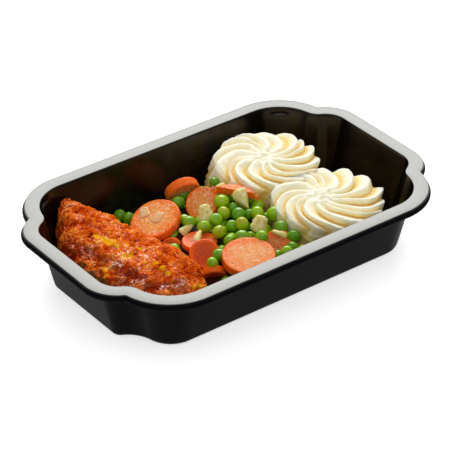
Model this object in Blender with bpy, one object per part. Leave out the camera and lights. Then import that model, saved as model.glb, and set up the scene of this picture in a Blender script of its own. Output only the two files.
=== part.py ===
"""Ready meal in its black plastic tray: a crumbed fillet, buttered vegetables and two piped rosettes of mash.

The script works in millimetres and turns them into metres when it makes a mesh. +Z is up. The origin is on
the surface that the tray stands on, under the tray's middle, and +X runs along the tray toward the mash.
"""
import math

import bmesh
import bpy
import numpy as np
from mathutils import Matrix, Vector, noise
from mathutils.bvhtree import BVHTree

METRES = 0.001

# Tray: plan of the mouth, the inner edge of the rim
MOUTH_HALF_LENGTH = 104.8
MOUTH_HALF_WIDTH = 64.6
LONG_LOBE_RADIUS = 24.7
LONG_LOBE_X = 68.3
SHORT_LOBE_RADIUS = 13.2
SHORT_LOBE_Y = 26.3
NOTCH_RADIUS = 10.2
LONG_LOBE_STEPS = 7
NOTCH_STEPS = 4
SHORT_LOBE_STEPS = 5

# Tray: section
TRAY_HEIGHT = 38.5
WALL = 0.8
BASE_INSET = 8.0
BASE_BEND = 5.0
BASE_BEND_STEPS = 3
RIM_WIDTH = 8.45
RIM_EDGE_ROUND = 0.4
RIM_STEP_DROP = 1.6
RIM_STEP_LEDGE = 0.2
RIM_STEP_ROUND = 0.7
RIM_STEP_UNDER = 0.5
SKIRT_LEAN = 0.1
LIP_OUT = 1.2
RIM_DROP = 3.6
LUG_TOP = 35.6
LUG_HEIGHT = 2.6
LUG_DEPTH = 1.3
LUG_MIDDLE = math.radians(52)
LUG_HALF_ANGLE = math.radians(16)

# Food in general
TOUCH_GAP = 0.3
WALL_GAP = 0.6
FOOD_FLOOR = WALL + TOUCH_GAP

# Crumbed fillet: sections across it, from the far end to the near end
FILLET_STATIONS = [60, 57, 50, 40, 27, 10, -8, -25, -40, -50, -55]
FILLET_LEFT = [-75, -80, -83, -88, -95, -98, -98.5, -97, -91, -80, -70]
FILLET_RIGHT = [-62, -60, -57.5, -52, -49, -43, -37, -37, -43, -53, -62]
FILLET_TOP = [35, 36, 36.5, 36, 35, 33.5, 32.5, 31, 28, 22, 16]
FILLET_SECTIONS = 32
FILLET_SIDES = 30
FILLET_BELLY = 0.42
FILLET_SLOPE = 0.10
SIDE_POWER = 0.72
TOP_POWER = 0.85
UNDER_POWER = 0.6
READINGS = 241
SMOOTH_SPAN = 27
CRAG_SIZE = 6.5
CRAG_HEIGHT = 1.5
CRAG_DETAIL = (0.9, 2.2, 3)
CRAG_CENTRE = (-78.0, 12.0)
CRAG_FOLLOW = 0.85

# Mash rosettes: one ridge is read at these shares of its width
RIDGES = 14
RIDGE_SAMPLES = [0.0, 0.2, 0.5, 0.8]
RIDGE_CREST = 0.2
RIDGE_ROUND = 1.9
RIDGE_DEPTH = 3.4
RIDGE_INWARD = 0.5
SIDE_RIDGE = 0.4
RIDGE_SWEEP = math.radians(52)
SWEEP_POWER = 2.2
# Shares of radius, height and ridge depth, from the middle of the rosette down to its foot
ROSETTE_RADII = [0.06, 0.22, 0.42, 0.62, 0.80, 0.93, 1.00, 0.98, 0.96, 0.99, 0.96]
ROSETTE_HEIGHTS = [0.955, 0.965, 0.975, 0.975, 0.965, 0.94, 0.89, 0.70, 0.46, 0.20, 0.0]
ROSETTE_RIDGES = [0.1, 0.45, 0.80, 1.0, 1.0, 1.0, 0.95, 0.55, 0.25, 0.1, 0.0]
ROSETTE_LEVELS = 12
SIDE_STARTS = 0.6
SIDE_BLEND = 0.2
# Middle of the swirl, radius, height, and how far the rim and the foot are off the middle of the swirl
BACK_ROSETTE = {
    "centre": (46.0, 26.5), "radius": 31.0, "peak": 35.5,
    "rim_shift": (1.7, -0.5), "foot_shift": (-3.0, 2.5),
}
FRONT_ROSETTE = {
    "centre": (45.5, -22.5), "radius": 32.0, "peak": 33.8,
    "rim_shift": (5.8, -3.0), "foot_shift": (4.0, -2.0),
}
FRONT_ROSETTE_CLEARANCE = 2.0

# Carrot slices: middle, radius, thickness, lean from lying flat, and the way the face turns when it leans
CARROTS = [
    {"at": (-29.9, 27.0, 19.3), "radius": 14.7, "thick": 4.5, "lean": 22, "turn": 181},
    {"at": (0.7, 43.6, 18.9), "radius": 10.3, "thick": 5.8, "lean": 114, "turn": 256},
    {"at": (-0.8, 22.3, 21.7), "radius": 9.9, "thick": 4.0, "lean": 43, "turn": 202},
    {"at": (17.2, 14.2, 22.0), "radius": 10.6, "thick": 3.5, "lean": 6, "turn": 21, "cut": -0.5},
    {"at": (-33.0, 8.0, 11.8), "radius": 6.5, "thick": 3.8, "lean": 60, "turn": 215},
    {"at": (-22.0, -3.2, 17.4), "radius": 10.0, "thick": 3.5, "lean": 2, "turn": 60},
    {"at": (-28.3, -16.2, 18.9), "radius": 8.6, "thick": 3.4, "lean": 38, "turn": 235},
    {"at": (-13.8, -36.8, 21.6), "radius": 14.9, "thick": 5.0, "lean": 9, "turn": 233},
    {"at": (-30.4, -27.6, 12.7), "radius": 7.3, "thick": 4.5, "lean": 118, "turn": 238},
    {"at": (11.0, -31.5, 18.5), "radius": 8.0, "thick": 5.0, "lean": 35, "turn": 225},
]
CARROT_SIDES = 16
CARROT_ROUND = 0.9

# Onion pieces: middle, length, width, point (1 is a full point), lean and turn
ONIONS = [
    {"at": (-9.0, 8.5, 25.0), "length": 11, "width": 9, "point": 0.3, "lean": 45, "turn": 225, "spin": 60},
    {"at": (14.4, 5.2, 27.2), "length": 12.5, "width": 10, "point": 0.9, "lean": 50, "turn": 233, "spin": 264},
    {"at": (7.0, -19.5, 26.5), "length": 10, "width": 9, "point": 0.2, "lean": 55, "turn": 233, "spin": 30},
    {"at": (-21.5, 9.5, 19.5), "length": 9, "width": 6, "point": 0.6, "lean": 30, "turn": 225, "spin": 0},
    {"at": (11.5, -31.5, 24.7), "length": 9, "width": 4, "point": 0.5, "lean": 35, "turn": 225, "spin": 120},
    {"at": (-23.6, -4.2, 22.4), "length": 9, "width": 5, "point": 0.7, "lean": 10, "turn": 225, "spin": 35},
    {"at": (13.0, 24.0, 27.0), "length": 6, "width": 4, "point": 0.3, "lean": 20, "turn": 225, "spin": 0},
]
ONION_THICK = 1.8
ONION_EDGE = 0.5
ONION_BOW = 0.18
ONION_GRID = (4, 3)

# Heap of peas: a low core between fillet and mash, with whole peas fused on
HEAP_MIDDLE = (-4.0, -4.0)
HEAP_BEARINGS = 34
HEAP_RINGS = 6
HEAP_TOP = 21.0
HEAP_FALL = 12.0
HEAP_HALF_SIZE = (46.0, 56.0)
HEAP_LEAST = 3.1
HEAP_EDGE_GAP = 1.5
FEEL_HEIGHTS = (1.5, 3, 6, 9, 12, 16, 20)
FEEL_SPREAD = 0.09
NEST_GAP = 0.4
PEA_SINK = 1.0
PEA_TURN = 1.7
PEA_GAP = 0.35
PUSH_ROUNDS = 40
PUSH_STEP = 0.8
DROP_ROUNDS = 16
DROP_STEP = 0.5
# Peas that show: middle and radius
PEAS_ON_TOP = [
    (6, 13.5, 25, 4.5), (15, 16, 23.5, 3.6), (21, 8.5, 23.5, 3.4), (9, 6.5, 23.5, 3.1), (1, 5, 23.5, 4.1),
    (6, -2, 24.5, 4.0), (12.5, -3, 22.5, 3.4), (14, -8.5, 25.5, 3.9), (-6.5, 2.5, 23.5, 3.9),
    (-2, -6.5, 22, 3.6), (1, -11.5, 25, 3.9), (-12, -7.5, 22.5, 4.0), (-11, -16, 21, 3.4),
    (-5.5, -20, 23.5, 4.1), (1, -29, 25, 4.1),
]
PEAS_BY_THE_MASH = [
    (15, 32, 25, 3.6), (24, 3.5, 20.5, 3.9), (19.5, -0.5, 21.5, 3.4), (21, -9, 20, 3.3), (22, -14, 24.5, 4.5),
    (17, -26.5, 24, 4.1), (19, -35, 22, 4.0), (13.5, -40.5, 19.5, 3.5), (7.5, -43.5, 20.5, 3.6),
    (17, -45.5, 19.5, 3.0), (2.5, -41.5, 19.5, 3.0),
]
PEAS_BY_THE_FILLET = [
    (-18, 12, 21.5, 3.9), (-16.5, 18.5, 19, 3.3), (-14.5, 3, 21.5, 4.0), (-24, -24, 21, 4.0),
    (-30.5, -26.5, 19.5, 3.5),
]
PEAS_AT_THE_FAR_SIDE = [
    (11, 39, 17, 3.4), (-0.5, 42, 17.5, 3.8), (6.5, 42, 15, 3.4), (-7.5, 36.5, 18, 4.0),
    (-36.5, 53.5, 11.5, 4.0), (-33.5, 48.5, 11, 4.0),
]


def tangent_notch():
    """Middles of the long lobe, the short lobe and the notch arc that touches both from outside."""
    long_lobe = Vector((LONG_LOBE_X, MOUTH_HALF_WIDTH - LONG_LOBE_RADIUS))
    short_lobe = Vector((MOUTH_HALF_LENGTH - SHORT_LOBE_RADIUS, SHORT_LOBE_Y))
    reach_long = LONG_LOBE_RADIUS + NOTCH_RADIUS
    reach_short = SHORT_LOBE_RADIUS + NOTCH_RADIUS
    between = short_lobe - long_lobe
    distance = between.length
    along = (reach_long ** 2 - reach_short ** 2 + distance ** 2) / (2 * distance)
    aside = math.sqrt(reach_long ** 2 - along ** 2)
    direction = between / distance
    outward = Vector((-direction.y, direction.x))
    return long_lobe, short_lobe, long_lobe + direction * along + outward * aside


def arc(centre, radius, start, end, steps):
    """Points of an arc, both ends included."""
    angles = [start + (end - start) * step / steps for step in range(steps + 1)]
    return [centre + Vector((math.cos(a), math.sin(a))) * radius(a) for a in angles]


def corner(offset, lug_depth):
    """The +X +Y corner of the plan outline, from the short side round to the long side."""
    long_lobe, short_lobe, notch = tangent_notch()
    to_short = math.atan2(notch.y - short_lobe.y, notch.x - short_lobe.x)
    to_long = math.atan2(notch.y - long_lobe.y, notch.x - long_lobe.x)

    def long_radius(angle):
        away = abs(angle - LUG_MIDDLE) / LUG_HALF_ANGLE
        bulge = math.cos(away * math.pi / 2) ** 2 if away < 1 else 0.0
        return LONG_LOBE_RADIUS + offset + lug_depth * bulge

    points = arc(short_lobe, lambda a: SHORT_LOBE_RADIUS + offset, 0, to_short, SHORT_LOBE_STEPS)
    notch_turns = (to_short + math.pi, to_long + math.pi)
    points += arc(notch, lambda a: NOTCH_RADIUS - offset, *notch_turns, NOTCH_STEPS)[1:]
    points += arc(long_lobe, long_radius, to_long, math.pi / 2, LONG_LOBE_STEPS)[1:]
    return points


def outline(offset, lug_depth=0.0):
    """Plan outline moved outward from the mouth edge by offset, counterclockwise."""
    first = corner(offset, lug_depth)
    second = [Vector((-p.x, p.y)) for p in reversed(first)]
    half = first + second
    return half + [-p for p in half]


def wall_offset(height):
    """How far the outer face of the wall is outside the mouth edge at a height."""
    return -BASE_INSET + (BASE_INSET + WALL) * height / TRAY_HEIGHT


def base_bend(radius):
    """Offsets and heights of the bend between floor and wall, for the outer or the inner radius."""
    slope = math.atan((BASE_INSET + WALL) / TRAY_HEIGHT)
    middle = wall_offset(BASE_BEND) - BASE_BEND / math.cos(slope)
    span = math.pi / 2 - slope
    angles = [-math.pi / 2 + span * step / BASE_BEND_STEPS for step in range(BASE_BEND_STEPS + 1)]
    return [(middle + radius * math.cos(a), BASE_BEND + radius * math.sin(a), 0.0) for a in angles]


def lug_levels(inward):
    """Three levels that make the stacking lugs bulge out of one face of the wall."""
    levels = []
    for share, depth in ((1.0, 0.0), (0.5, LUG_DEPTH), (0.0, 0.0)):
        height = LUG_TOP - LUG_HEIGHT * share
        levels.append((wall_offset(height) - inward, height, depth))
    return levels


def tray_profile():
    """Offset, height and lug depth of each level, from under the base, over the rim, to the floor inside."""
    under_rim = TRAY_HEIGHT - WALL
    step = TRAY_HEIGHT - RIM_STEP_DROP
    bottom = TRAY_HEIGHT - RIM_DROP
    lip = RIM_WIDTH + LIP_OUT
    outside = base_bend(BASE_BEND) + lug_levels(0.0) + [
        (wall_offset(under_rim), under_rim, 0.0),
        (RIM_WIDTH - WALL, under_rim, 0.0),
        (RIM_WIDTH - WALL + SKIRT_LEAN, step - RIM_STEP_UNDER, 0.0),
        (lip - WALL, bottom, 0.0),
        (lip, bottom, 0.0),
        (lip, step - RIM_STEP_ROUND, 0.0),
        (RIM_WIDTH + RIM_STEP_LEDGE, step, 0.0),
        (RIM_WIDTH, TRAY_HEIGHT - RIM_EDGE_ROUND, 0.0),
        (RIM_WIDTH - RIM_EDGE_ROUND, TRAY_HEIGHT, 0.0),
        (RIM_EDGE_ROUND, TRAY_HEIGHT, 0.0),
        (wall_offset(TRAY_HEIGHT - RIM_EDGE_ROUND) - WALL, TRAY_HEIGHT - RIM_EDGE_ROUND, 0.0),
    ]
    inside = lug_levels(WALL)[::-1] + base_bend(BASE_BEND - WALL)[::-1]
    return outside + inside


def material(name, colour, roughness, metallic=0.0):
    """A Principled material with one colour."""
    made = bpy.data.materials.new(name)
    made.use_nodes = True
    shader = made.node_tree.nodes["Principled BSDF"]
    shader.inputs["Base Color"].default_value = (*colour, 1.0)
    shader.inputs["Roughness"].default_value = roughness
    shader.inputs["Metallic"].default_value = metallic
    return made


def mesh_object(name, points, faces, surface):
    """One object from points in millimetres, with its faces turned outward."""
    mesh = bpy.data.meshes.new(name)
    mesh.from_pydata([Vector(p) * METRES for p in points], [], faces)
    work = bmesh.new()
    work.from_mesh(mesh)
    bmesh.ops.recalc_face_normals(work, faces=work.faces)
    work.to_mesh(mesh)
    work.free()
    mesh.materials.append(surface)
    mesh.shade_smooth()
    mesh.set_sharp_from_angle(angle=math.radians(35))
    made = bpy.data.objects.new(name, mesh)
    bpy.context.scene.collection.objects.link(made)
    return made


def skin(loops, first_tip=None, last_tip=None):
    """Points and faces of a closed skin over loops of equal count; an end is a flat cap or runs to a tip."""
    count = len(loops[0])
    points = [tuple(p) for loop in loops for p in loop]
    faces = []
    for level in range(len(loops) - 1):
        low = level * count
        high = low + count
        for side in range(count):
            after = (side + 1) % count
            faces.append((low + side, low + after, high + after, high + side))
    last = len(points) - count
    for start, tip in ((0, first_tip), (last, last_tip)):
        ring = list(range(start, start + count))
        if start == 0:
            ring.reverse()
        if tip is None:
            faces.append(tuple(ring))
            continue
        points.append(tuple(tip))
        for here, after in zip(ring, ring[1:] + ring[:1]):
            faces.append((here, after, len(points) - 1))
    return points, faces


def middle_of(loop):
    """Mean of the points of a loop."""
    return sum((Vector(p) for p in loop), Vector()) / len(loop)


def make_tray(surface):
    """The whole tray as one skin: base, sloping walls with lugs, flat rim and stepped skirt."""
    loops = []
    for offset, height, lug_depth in tray_profile():
        loops.append([(p.x, p.y, height) for p in outline(offset, lug_depth)])
    return mesh_object("tray", *skin(loops), surface)


class Inside:
    """Keeps points inside the tray: finds how far a point is from the mouth outline in plan."""

    def __init__(self):
        self.ring = np.array([tuple(p) for p in outline(0.0)])
        self.step = np.roll(self.ring, -1, axis=0) - self.ring
        lengths = np.linalg.norm(self.step, axis=1)
        self.keep = lengths > 1e-6
        self.ring = self.ring[self.keep]
        self.step = self.step[self.keep]

    def push(self, point, margin):
        """The point, moved inward in plan if it's outside the inner face of the wall less a margin."""
        x, y, z = point
        height = max(z, 0.0)
        limit = wall_offset(height) - WALL - margin
        if z < BASE_BEND:
            middle = base_bend(BASE_BEND)[0][0]
            radius = BASE_BEND - WALL - margin
            drop = min(BASE_BEND - z, radius)
            limit = min(limit, middle + math.sqrt(radius ** 2 - drop ** 2))
        here = np.array((x, y))
        share = ((here - self.ring) * self.step).sum(axis=1) / (self.step ** 2).sum(axis=1)
        nearest = self.ring + self.step * np.clip(share, 0, 1)[:, None]
        away = here - nearest
        distance = np.linalg.norm(away, axis=1)
        closest = int(distance.argmin())
        along = self.step[closest]
        outward = np.array((along[1], -along[0])) / np.linalg.norm(along)
        signed = float(away[closest] @ outward)
        if abs(signed) < distance[closest]:
            signed = math.copysign(float(distance[closest]), signed)
        excess = signed - limit
        if excess <= 0:
            return Vector(point)
        return Vector((x - outward[0] * excess, y - outward[1] * excess, z))


def smooth_values(stations, values, samples):
    """Values read between stations, with the corners rounded off."""
    order = np.argsort(stations)
    dense = np.linspace(min(stations), max(stations), READINGS)
    read = np.interp(dense, np.array(stations, float)[order], np.array(values, float)[order])
    kernel = np.hanning(SMOOTH_SPAN)
    kernel /= kernel.sum()
    padded = np.pad(read, SMOOTH_SPAN // 2, mode="reflect", reflect_type="odd")
    return np.interp(samples, dense, np.convolve(padded, kernel, mode="valid"))


def fillet_section(y, left, right, top):
    """One section across the fillet: flat underneath, steep on the left, sloping to the right."""
    middle = (left + right) / 2
    half = (right - left) / 2
    belly = FOOD_FLOOR + (top - FOOD_FLOOR) * FILLET_BELLY
    loop = []
    for side in range(FILLET_SIDES):
        angle = 2 * math.pi * side / FILLET_SIDES
        across = math.copysign(abs(math.cos(angle)) ** SIDE_POWER, math.cos(angle))
        up = math.sin(angle)
        if up >= 0:
            height = belly + (top - belly) * up ** TOP_POWER
            height -= FILLET_SLOPE * (top - belly) * (across + 1) * up
        else:
            height = belly + (belly - FOOD_FLOOR) * -(abs(up) ** UNDER_POWER)
        loop.append((middle + half * across, y, height))
    return loop


def make_fillet(inside, surface):
    """The crumbed fillet, lofted along Y and roughened with crags."""
    near = min(FILLET_STATIONS)
    far = max(FILLET_STATIONS)
    turns = np.linspace(0, math.pi, FILLET_SECTIONS)
    places = (near + far) / 2 + (far - near) / 2 * np.cos(turns)
    lefts = smooth_values(FILLET_STATIONS, FILLET_LEFT, places)
    rights = smooth_values(FILLET_STATIONS, FILLET_RIGHT, places)
    tops = smooth_values(FILLET_STATIONS, FILLET_TOP, places)
    loops = [fillet_section(*values) for values in zip(places, lefts, rights, tops)]
    points, faces = skin(loops, middle_of(loops[0]), middle_of(loops[-1]))
    centre_x, centre_z = CRAG_CENTRE
    shaped = []
    for point in points:
        place = Vector(point)
        outward = (place - Vector((centre_x, place.y * CRAG_FOLLOW, centre_z))).normalized()
        crag = noise.fractal(place / CRAG_SIZE, *CRAG_DETAIL)
        place += outward * CRAG_HEIGHT * crag
        place.z = max(place.z, FOOD_FLOOR)
        shaped.append(inside.push(place, WALL_GAP))
    return mesh_object("crumbed_fillet", shaped, faces, surface)


def ridge_height(phase):
    """Section across one ridge of mash: steep up to the crest, then a rounded fall to a sharp valley."""
    if phase < RIDGE_CREST:
        return math.sin(phase / RIDGE_CREST * math.pi / 2)
    fall = (phase - RIDGE_CREST) / (1 - RIDGE_CREST)
    return 1 - fall ** RIDGE_ROUND


def rosette_level(share):
    """Radius share, height share and ridge share down the rosette, from its middle (0) to its foot (1)."""
    levels = np.linspace(0, 1, len(ROSETTE_RADII))
    tables = (ROSETTE_RADII, ROSETTE_HEIGHTS, ROSETTE_RIDGES)
    return [float(np.interp(share, levels, values)) for values in tables]


def make_rosette(name, shape, inside, surface, yields_to=None):
    """A piped rosette: ridges that leave the middle straight and sweep round as they reach the edge."""
    centre = Vector(shape["centre"])
    rim_shift = Vector(shape["rim_shift"])
    foot_shift = Vector(shape["foot_shift"])
    loops = []
    for level in range(ROSETTE_LEVELS):
        share = level / (ROSETTE_LEVELS - 1)
        radius_share, height_share, ridge_share = rosette_level(share)
        sweep = RIDGE_SWEEP * radius_share ** SWEEP_POWER
        to_foot = min(max((share - SIDE_STARTS) / SIDE_BLEND, 0.0), 1.0)
        depth = RIDGE_DEPTH if share < SIDE_STARTS else RIDGE_DEPTH * SIDE_RIDGE
        shift = rim_shift.lerp(foot_shift, to_foot) * radius_share
        loop = []
        for ridge in range(RIDGES):
            for phase in RIDGE_SAMPLES:
                angle = 2 * math.pi * (ridge + phase) / RIDGES + sweep
                rise = ridge_height(phase) * ridge_share
                reach = radius_share * shape["radius"] + RIDGE_DEPTH * RIDGE_INWARD * (rise - ridge_share)
                x = centre.x + reach * math.cos(angle) + shift.x
                y = centre.y + reach * math.sin(angle) + shift.y
                z = FOOD_FLOOR + (shape["peak"] - FOOD_FLOOR) * height_share
                z -= depth * (ridge_share - rise)
                place = inside.push(Vector((x, y, max(z, FOOD_FLOOR))), WALL_GAP)
                if yields_to:
                    place = keep_outside(place, *yields_to)
                loop.append(place)
        loops.append(loop)
    return mesh_object(name, *skin(loops, middle_of(loops[0])), surface)


def keep_outside(place, centre, radius):
    """The point, moved straight away from a circle's middle until it's outside the circle."""
    away = Vector((place.x, place.y)) - Vector(centre)
    if away.length >= radius:
        return place
    moved = Vector(centre) + away.normalized() * radius
    return Vector((moved.x, moved.y, place.z))


def tilt(lean, turn, spin=0.0):
    """Rotation that leans a flat piece by lean degrees, its face turning toward the bearing turn."""
    lean = math.radians(lean)
    turn = math.radians(turn)
    about = Vector((-math.sin(turn), math.cos(turn), 0))
    return Matrix.Rotation(lean, 3, about) @ Matrix.Rotation(math.radians(spin), 3, "Z")


def make_carrot(name, slice_, surface, grow=0.0):
    """A round slice with slightly rounded edges, or part of one that ends at a straight cut."""
    radius = slice_["radius"] + grow
    half = slice_["thick"] / 2 + grow
    turned = tilt(slice_["lean"], slice_["turn"])
    cut = slice_.get("cut", radius) + grow
    cut_side = Matrix.Rotation(math.radians(slice_["turn"]), 3, "Z") @ Vector((1, 0, 0))
    section = [
        (radius - CARROT_ROUND, -half),
        (radius, -half + CARROT_ROUND),
        (radius, half - CARROT_ROUND),
        (radius - CARROT_ROUND, half),
    ]
    loops = []
    for reach, height in section:
        loop = []
        for side in range(CARROT_SIDES):
            angle = 2 * math.pi * side / CARROT_SIDES
            place = Vector((reach * math.cos(angle), reach * math.sin(angle), height))
            place -= cut_side * max(0.0, place @ cut_side - cut)
            loop.append(turned @ place + Vector(slice_["at"]))
        loops.append(loop)
    return mesh_object(name, *skin(loops), surface)


def make_onion(name, piece, surface, grow=0.0):
    """A curved cut of onion layer, four-sided and drawn to a point at one end."""
    turned = tilt(piece["lean"], piece["turn"], piece["spin"])
    length = piece["length"] + 2 * grow
    width = piece["width"] + 2 * grow
    along_steps, across_steps = ONION_GRID
    grid = {}
    points = []
    for face in (0, 1):
        for i in range(along_steps + 1):
            for j in range(across_steps + 1):
                along = i / along_steps - 0.5
                across = j / across_steps - 0.5
                narrow = 1 - piece["point"] * (along + 0.5) ** 1.5
                bow = ONION_BOW * width * (1 - (2 * across) ** 2)
                edge = 1 + (ONION_EDGE - 1) * (1 - math.cos(math.pi * along))
                thick = ONION_THICK * edge + 2 * grow
                place = Vector((along * length, across * width * narrow, bow + (face - 0.5) * thick))
                grid[face, i, j] = len(points)
                points.append(turned @ place + Vector(piece["at"]))
    faces = []
    for face in (0, 1):
        for i in range(along_steps):
            for j in range(across_steps):
                around = ((i, j), (i + 1, j), (i + 1, j + 1), (i, j + 1))
                faces.append(tuple(grid[face, *step] for step in around))
    edge = [(i, 0) for i in range(along_steps)]
    edge += [(along_steps, j) for j in range(across_steps)]
    edge += [(i, across_steps) for i in range(along_steps, 0, -1)]
    edge += [(0, j) for j in range(across_steps, 0, -1)]
    for first, second in zip(edge, edge[1:] + edge[:1]):
        faces.append((grid[0, *first], grid[0, *second], grid[1, *second], grid[1, *first]))
    return mesh_object(name, points, faces, surface)


class Pieces:
    """The finished solids in millimetres, for finding how close a new piece comes to them."""

    def __init__(self, objects):
        self.points = []
        self.faces = []
        for item in objects:
            start = len(self.points)
            self.points += [v.co / METRES for v in item.data.vertices]
            self.faces += [[start + corner_ for corner_ in face.vertices] for face in item.data.polygons]
        self.tree = BVHTree.FromPolygons(self.points, self.faces)

    def distance(self, place):
        """Distance to the nearest face, below zero inside a solid, and the way out of it."""
        nearest, normal, _, away = self.tree.find_nearest(place)
        outward = place - nearest
        if outward @ normal < 0:
            return -away, normal
        return away, (outward.normalized() if away > 1e-6 else normal)

    def free_run(self, start, direction):
        """How far a ray runs before it meets a piece."""
        hit = self.tree.ray_cast(start, direction)
        return hit[3] if hit[0] else 1000.0


def heap_height(x, y):
    """Height of the bare core of the heap, before room is cut out for carrots and onions."""
    across = (x - HEAP_MIDDLE[0]) / HEAP_HALF_SIZE[0]
    along = (y - HEAP_MIDDLE[1]) / HEAP_HALF_SIZE[1]
    return HEAP_TOP - HEAP_FALL * (across ** 2 + along ** 2) ** 1.5


def make_core(walls, surface):
    """A low mound that fills the floor between the tray, the fillet and the mash."""
    middle = Vector((*HEAP_MIDDLE, 0))
    reaches = []
    for bearing in range(HEAP_BEARINGS):
        angle = 2 * math.pi * bearing / HEAP_BEARINGS
        turns = (angle - FEEL_SPREAD, angle, angle + FEEL_SPREAD)
        ways = [Vector((math.cos(turn), math.sin(turn), 0)) for turn in turns]
        runs = [walls.free_run(middle + Vector((0, 0, z)), way) for z in FEEL_HEIGHTS for way in ways]
        reaches.append(min(runs) - HEAP_EDGE_GAP)
    loops = []
    for ring in range(HEAP_RINGS, 0, -1):
        loop = []
        for bearing, reach in enumerate(reaches):
            angle = 2 * math.pi * bearing / HEAP_BEARINGS
            place = middle + Vector((math.cos(angle), math.sin(angle), 0)) * reach * ring / HEAP_RINGS
            place.z = max(heap_height(place.x, place.y), HEAP_LEAST)
            loop.append(place)
        loops.append(loop)
    foot = [Vector((p.x, p.y, FOOD_FLOOR)) for p in loops[0]]
    return mesh_object("pea_heap", *skin([foot] + loops, None, middle_of(loops[-1])), surface)


def settle_pea(place, radius, obstacles, core, placed):
    """Move a pea off the pieces that it would cross; say whether it ends up fused to the heap."""
    for _ in range(PUSH_ROUNDS):
        gap, way = obstacles.distance(place)
        if gap >= radius + TOUCH_GAP:
            break
        place = place + way * min(radius + PEA_GAP - gap, PUSH_STEP)
    for _ in range(DROP_ROUNDS):
        if obstacles.distance(place)[0] < radius + TOUCH_GAP:
            return None
        if core.distance(place)[0] < radius - PEA_SINK:
            return place
        for other, other_radius in placed:
            if (place - other).length < radius + other_radius - PEA_SINK:
                return place
        place = place - Vector((0, 0, DROP_STEP))
    return None


def combine(target, operation, tools):
    """Add or cut away tool objects on the target with one Boolean, and remove the tools."""
    group = bpy.data.collections.new("tools")
    for tool in tools:
        for holder in list(tool.users_collection):
            holder.objects.unlink(tool)
        group.objects.link(tool)
    step = target.modifiers.new("combine", "BOOLEAN")
    step.operation = operation
    step.operand_type = "COLLECTION"
    step.collection = group
    bpy.context.view_layer.update()
    target.data = bpy.data.meshes.new_from_object(target.evaluated_get(bpy.context.evaluated_depsgraph_get()))
    target.modifiers.clear()
    for tool in tools:
        bpy.data.objects.remove(tool)
    bpy.data.collections.remove(group)
    keep_largest_body(target.data)


def make_heap(pieces, tray, toppings, surface):
    """The heap of peas as one solid: the core with each pea that shows fused on."""
    obstacles = Pieces(pieces + [tray])
    core_object = make_core(Pieces([p for p in pieces if p not in toppings] + [tray]), surface)
    room = [make_carrot("room", slice_, surface, NEST_GAP) for slice_ in CARROTS]
    room += [make_onion("room", piece, surface, NEST_GAP) for piece in ONIONS]
    combine(core_object, "DIFFERENCE", room)
    core = Pieces([core_object])
    waiting = []
    for *place, radius in PEAS_ON_TOP + PEAS_BY_THE_MASH + PEAS_BY_THE_FILLET + PEAS_AT_THE_FAR_SIDE:
        waiting.append((Vector(place), radius))
    placed = []
    for _ in range(2):
        left_over = []
        for place, radius in waiting:
            settled = settle_pea(place, radius, obstacles, core, placed)
            if settled:
                placed.append((settled, radius))
            else:
                left_over.append((place, radius))
        waiting = left_over
    peas = []
    for number, (place, radius) in enumerate(placed):
        ball = bmesh.new()
        turn = Matrix.Rotation(number * PEA_TURN, 4, (0.3, 0.5, 0.81))
        bmesh.ops.create_icosphere(ball, subdivisions=2, radius=radius * METRES,
                                   matrix=Matrix.Translation(place * METRES) @ turn)
        mesh = bpy.data.meshes.new("pea")
        ball.to_mesh(mesh)
        ball.free()
        peas.append(bpy.data.objects.new("pea", mesh))
    combine(core_object, "UNION", peas)
    return core_object


def keep_largest_body(mesh):
    """Drop loose scraps and sealed hollows, so that one closed body is left."""
    work = bmesh.new()
    work.from_mesh(mesh)
    unseen = set(work.verts)
    bodies = []
    while unseen:
        body = {unseen.pop()}
        front = list(body)
        while front:
            reached = {edge.other_vert(vert) for vert in front for edge in vert.link_edges} - body
            body |= reached
            front = list(reached)
        unseen -= body
        bodies.append(body)
    bodies.sort(key=len)
    scraps = [vert for body in bodies[:-1] for vert in body]
    bmesh.ops.delete(work, geom=scraps, context="VERTS")
    work.to_mesh(mesh)
    work.free()
    mesh.shade_smooth()
    mesh.set_sharp_from_angle(angle=math.radians(50))


def main():
    for old in list(bpy.data.objects):
        bpy.data.objects.remove(old)
    black = material("black_tray_plastic", (0.012, 0.012, 0.013), 0.35)
    crumb = material("browned_crumb", (0.42, 0.10, 0.02), 0.55)
    mash = material("potato_mash", (0.86, 0.79, 0.58), 0.5)
    orange = material("carrot", (0.80, 0.22, 0.05), 0.35)
    pale = material("onion", (0.75, 0.70, 0.42), 0.3)
    green = material("pea_green", (0.16, 0.42, 0.03), 0.35)
    inside = Inside()
    tray = make_tray(black)
    pieces = [make_fillet(inside, crumb)]
    front_ring = Vector(FRONT_ROSETTE["centre"]) + Vector(FRONT_ROSETTE["rim_shift"])
    front_reach = FRONT_ROSETTE["radius"] + FRONT_ROSETTE_CLEARANCE
    pieces.append(make_rosette("mash_rosette_back", BACK_ROSETTE, inside, mash, (front_ring, front_reach)))
    pieces.append(make_rosette("mash_rosette_front", FRONT_ROSETTE, inside, mash))
    toppings = [make_carrot(f"carrot_slice_{n}", slice_, orange) for n, slice_ in enumerate(CARROTS, 1)]
    toppings += [make_onion(f"onion_piece_{n}", piece, pale) for n, piece in enumerate(ONIONS, 1)]
    make_heap(pieces + toppings, tray, toppings, green)


main()
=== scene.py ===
# %% [markdown]
# # A ready meal in its black plastic tray
#
# The object is a one-portion meal: a crumbed fillet, buttered peas, carrots and onion, and two piped
# rosettes of mashed potato, all in a thermoformed tray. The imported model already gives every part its
# place and size. This lesson dresses it. Each part is built again in finer mesh from the same
# measurements, so that it keeps the form of its solid, and gets a material that starts from what the real
# surface is.

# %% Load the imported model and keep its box
import math

import bmesh
import bpy
import numpy as np
from mathutils import Matrix, Vector, noise
from mathutils.bvhtree import BVHTree


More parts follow.
